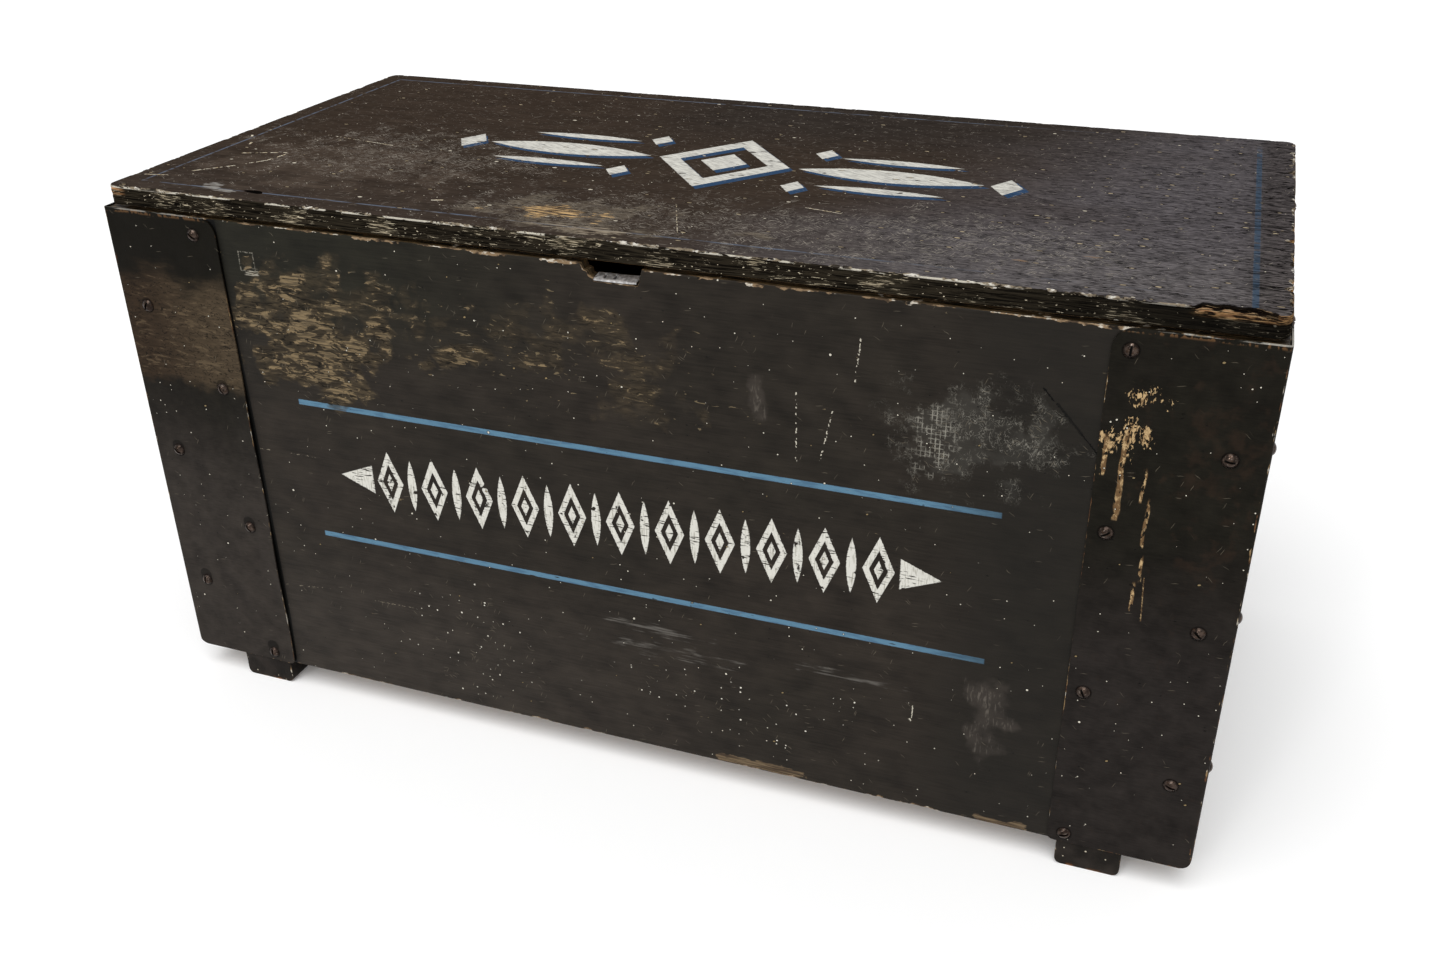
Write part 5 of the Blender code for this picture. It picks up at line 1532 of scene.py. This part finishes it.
def eye_mesh(name, place, back):
    """Two eyes, each a strap bent round the bail's rod and back to the base plate."""
    bm = bmesh.new()
    bows = [math.pi * i / 12 for i in range(13)]
    arc = [(EYE_OUTER * math.sin(a), EYE_OUTER * math.cos(a)) for a in bows]
    outside = [(back, EYE_OUTER), *arc, (back, -EYE_OUTER)]
    turns = [math.atan2(z, x) for x, z in outside]
    inside = [(EYE_BORE * math.cos(a), EYE_BORE * math.sin(a)) for a in turns]
    edge = 0.0005
    for sign in (-1, 1):
        start = sign * EYE_GAP - EYE_LENGTH / 2
        layers = []
        for y, pull in ((0, edge), (edge, 0), (EYE_LENGTH - edge, 0), (EYE_LENGTH, edge)):
            ring_out = [bm.verts.new(place(x - pull * (x > 0), start + y, z * (1 - pull / EYE_OUTER)))
                        for x, z in outside]
            ring_in = [bm.verts.new(place(x, start + y, z)) for x, z in inside]
            layers.append((ring_out, ring_in))
        bridge(bm, [ring_out for ring_out, _ in layers])
        bridge(bm, [ring_in[::-1] for _, ring_in in layers])
        for layer in (layers[0], layers[-1]):
            bridge(bm, layer)
    return closed_mesh(bm, name, 35)


def make_handles():
    """The drop handles: a base with two eyes and four screws, and a bail on each end."""
    iron = steel_finish("handle_iron", (38, 35, 33), (62, 57, 53), metallic=0.5, roughness=0.42,
                        rust=(72, 52, 39), relief=0.5)
    head = head_mesh("handle_screw_head", 0.0040, 0.0022, slot_width=0.0010, slot_depth=0.0009)
    for side in ("left", "right"):
        place = turned_at(side)
        low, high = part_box(f"{side}_handle_base")
        wide, tall = (high.y - low.y) / 2, (high.z - low.z) / 2
        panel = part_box("right_end_panel")[1].x
        back = panel + 0.0003 - HANDLE_AXIS.x
        front = back + HANDLE_SHEET
        outline = dense(rounded((-wide, -tall), (wide, tall), [HANDLE_ROUND] * 4), 0.002)
        rings = [Ring(0, 0.003), Ring(0, 0.0005, 0.7), Ring(0.00015, 0.00015, 0.8),
                 Ring(0.0005, 0, 0.5), Ring(HANDLE_SHEET - 0.0003, 0, 0.3), Ring(HANDLE_SHEET, 0.0003)]
        mesh = layered(f"{side}_handle_plate", outline, rings, lambda a, b, depth: place(front - depth, a, b),
                       ragged=[0.0001] * len(outline), seed=5)
        shown(mesh, iron, "case", "black_iron", f"{side}_handle_base")
        eyes = eye_mesh(f"{side}_handle_eyes", place, back + HANDLE_SHEET * 0.4)
        shown(eyes, iron, "case", "black_iron")
        sign = -1 if side == "left" else 1
        places = [(Vector(place(front, a, b)), Vector((sign, 0, 0))) for a, b in HANDLE_SCREWS]
        screws = scattered(f"{side}_handle_screws", places, head.copy(), iron, 31)
        shown(screws, iron, "case", "black_iron")
        path, radius = bail_points(f"{side}_handle_bail")
        bail = tube_mesh(f"{side}_bail_rod", path, radius, 24, place)
        shown(bail, iron, f"{side}_bail", "black_iron", f"{side}_handle_bail")


def seen_rays(tree, *kinds):
    """1 for rays of any of those kinds and 0 for the others."""
    rays = add_node(tree, "ShaderNodeLightPath").outputs
    return reduce(lambda a, b: add_node(tree, "ShaderNodeMath", {"operation": "MAXIMUM"}, a, b).outputs[0],
                  [rays[f"Is {kind} Ray"] for kind in kinds])


def make_studio():
    """The pale floor, the soft light and the camera."""
    scene = bpy.context.scene
    scene.view_settings.view_transform = "Standard"

    floor = bpy.data.meshes.new("floor")
    half = FLOOR_WIDTH / 2
    floor.from_pydata([(-half, -half, 0), (half, -half, 0), (half, half, 0), (-half, half, 0)], [],
                      [(0, 1, 2, 3)])
    ground = bpy.data.objects.new("floor", floor)
    scene.collection.objects.link(ground)
    pale = bpy.data.materials.new("pale_floor")
    pale.use_nodes = True
    tree = pale.node_tree
    tree.nodes.clear()
    node = partial(add_node, tree)
    lift = node("ShaderNodeMath", {"operation": "MULTIPLY"}, seen_rays(tree, "Camera", "Glossy"), FLOOR_LIFT)
    glow = node("ShaderNodeEmission", None, (1, 1, 1, 1), lift.outputs[0]).outputs[0]
    diffuse = node("ShaderNodeBsdfDiffuse", None, (*[FLOOR_COLOUR] * 3, 1)).outputs[0]
    both = node("ShaderNodeAddShader", None, diffuse, glow).outputs[0]
    node("ShaderNodeOutputMaterial", None, both)
    floor.materials.append(pale)
    ground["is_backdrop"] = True

    world = bpy.data.worlds.new("studio")
    scene.world = world
    world.use_nodes = True
    tree = world.node_tree
    level = add_node(tree, "ShaderNodeMapRange", None, seen_rays(tree, "Camera", "Glossy", "Transmission"),
                     To_Min=WORLD_LEVEL, To_Max=1.0).outputs[0]
    plug(tree, tree.nodes["Background"].inputs["Color"], (1, 1, 1, 1))
    plug(tree, tree.nodes["Background"].inputs["Strength"], level)

    for name, direction, strength, spread in LAMPS:
        lamp = bpy.data.lights.new(name, "SUN")
        lamp.energy = strength
        lamp.angle = math.radians(spread)
        light = bpy.data.objects.new(name, lamp)
        light.rotation_euler = Vector(direction).to_track_quat("-Z", "Y").to_euler()
        scene.collection.objects.link(light)

    camera = bpy.data.cameras.new("camera")
    camera.lens = CAMERA_LENS
    camera.sensor_fit = "HORIZONTAL"
    camera.sensor_width = SENSOR_WIDTH
    view = bpy.data.objects.new("camera", camera)
    view.location = CAMERA_PLACE
    level_view = Vector(CAMERA_VIEW).to_track_quat("-Z", "Y")
    view.rotation_euler = (level_view @ Quaternion((0, 0, 1), -CAMERA_ROLL)).to_euler()
    scene.collection.objects.link(view)
    scene.camera = view


# Operators, one for each piece or group of like pieces.


class TRUNK_OT_lid(bpy.types.Operator):
    """Model and paint the lid board with its broken corner"""

    bl_idname = "trunk.make_lid"
    bl_label = "Make Lid"

    def execute(self, context):
        make_lid()
        return {"FINISHED"}


class TRUNK_OT_front(bpy.types.Operator):
    """Model and paint the front panel with its notch"""

    bl_idname = "trunk.make_front"
    bl_label = "Make Front"

    def execute(self, context):
        make_front()
        return {"FINISHED"}


class TRUNK_OT_boards(bpy.types.Operator):
    """Model and paint the back, the ends and the floor"""

    bl_idname = "trunk.make_boards"
    bl_label = "Make Other Boards"

    def execute(self, context):
        make_boards()
        return {"FINISHED"}


class TRUNK_OT_bearers(bpy.types.Operator):
    """Model and paint the two bearers under the case"""

    bl_idname = "trunk.make_bearers"
    bl_label = "Make Bearers"

    def execute(self, context):
        make_bearers()
        return {"FINISHED"}


class TRUNK_OT_inner_frame(bpy.types.Operator):
    """Model the posts, the hinge rail and the lid's battens"""

    bl_idname = "trunk.make_inner_frame"
    bl_label = "Make Inner Frame"

    def execute(self, context):
        make_inner_frame()
        return {"FINISHED"}


class TRUNK_OT_plates(bpy.types.Operator):
    """Model and paint the four bent corner plates"""

    bl_idname = "trunk.make_plates"
    bl_label = "Make Corner Plates"

    def execute(self, context):
        make_plates()
        return {"FINISHED"}


class TRUNK_OT_screws(bpy.types.Operator):
    """Set the slotted round-head screws in the plates"""

    bl_idname = "trunk.make_screws"
    bl_label = "Make Screws"

    def execute(self, context):
        make_screws()
        return {"FINISHED"}


class TRUNK_OT_keeper(bpy.types.Operator):
    """Model the keeper plate in the notch"""

    bl_idname = "trunk.make_keeper"
    bl_label = "Make Keeper"

    def execute(self, context):
        make_keeper()
        return {"FINISHED"}


class TRUNK_OT_hinges(bpy.types.Operator):
    """Finish the hinges and set the screws in their leaves"""

    bl_idname = "trunk.make_hinges"
    bl_label = "Make Hinges"

    def execute(self, context):
        make_hinges()
        return {"FINISHED"}


class TRUNK_OT_handles(bpy.types.Operator):
    """Model the drop handles on the ends"""

    bl_idname = "trunk.make_handles"
    bl_label = "Make Handles"

    def execute(self, context):
        make_handles()
        return {"FINISHED"}


class TRUNK_OT_studio(bpy.types.Operator):
    """Set up the floor, the light and the camera"""

    bl_idname = "trunk.make_studio"
    bl_label = "Make Studio"

    def execute(self, context):
        make_studio()
        return {"FINISHED"}


OPERATORS = (TRUNK_OT_studio, TRUNK_OT_lid, TRUNK_OT_front, TRUNK_OT_boards, TRUNK_OT_bearers,
             TRUNK_OT_inner_frame, TRUNK_OT_plates, TRUNK_OT_screws, TRUNK_OT_keeper, TRUNK_OT_hinges,
             TRUNK_OT_handles)


class TRUNK_PT_panel(bpy.types.Panel):
    """Lists the trunk's pieces and its looks"""

    bl_label = "Trunk"
    bl_idname = "TRUNK_PT_panel"
    bl_space_type = "VIEW_3D"
    bl_region_type = "UI"
    bl_category = "Trunk"

    def draw(self, context):
        for name in TrunkLooks.__annotations__:
            self.layout.prop(context.scene.trunk_looks, name)
        for operator in OPERATORS:
            self.layout.operator(operator.bl_idname)


def register():
    """Registers the looks, the operators and the panel."""
    for kind in (TrunkLooks, *OPERATORS, TRUNK_PT_panel):
        bpy.utils.register_class(kind)
    bpy.types.Scene.trunk_looks = bpy.props.PointerProperty(type=TrunkLooks)


def unregister():
    """Takes them away again."""
    del bpy.types.Scene.trunk_looks
    for kind in (TRUNK_PT_panel, *reversed(OPERATORS), TrunkLooks):
        bpy.utils.unregister_class(kind)


def plain(bounds):
    """Bounds as plain lists of numbers."""
    return [[float(value) for value in corner] for corner in bounds]


def main():
    """Makes the whole trunk."""
    register()
    for operator in OPERATORS:
        module, name = operator.bl_idname.split(".")
        getattr(getattr(bpy.ops, module), name)()
    {"cad": plain(cad_bounds), "visual": plain(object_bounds())}


if __name__ == "__main__":
    main()
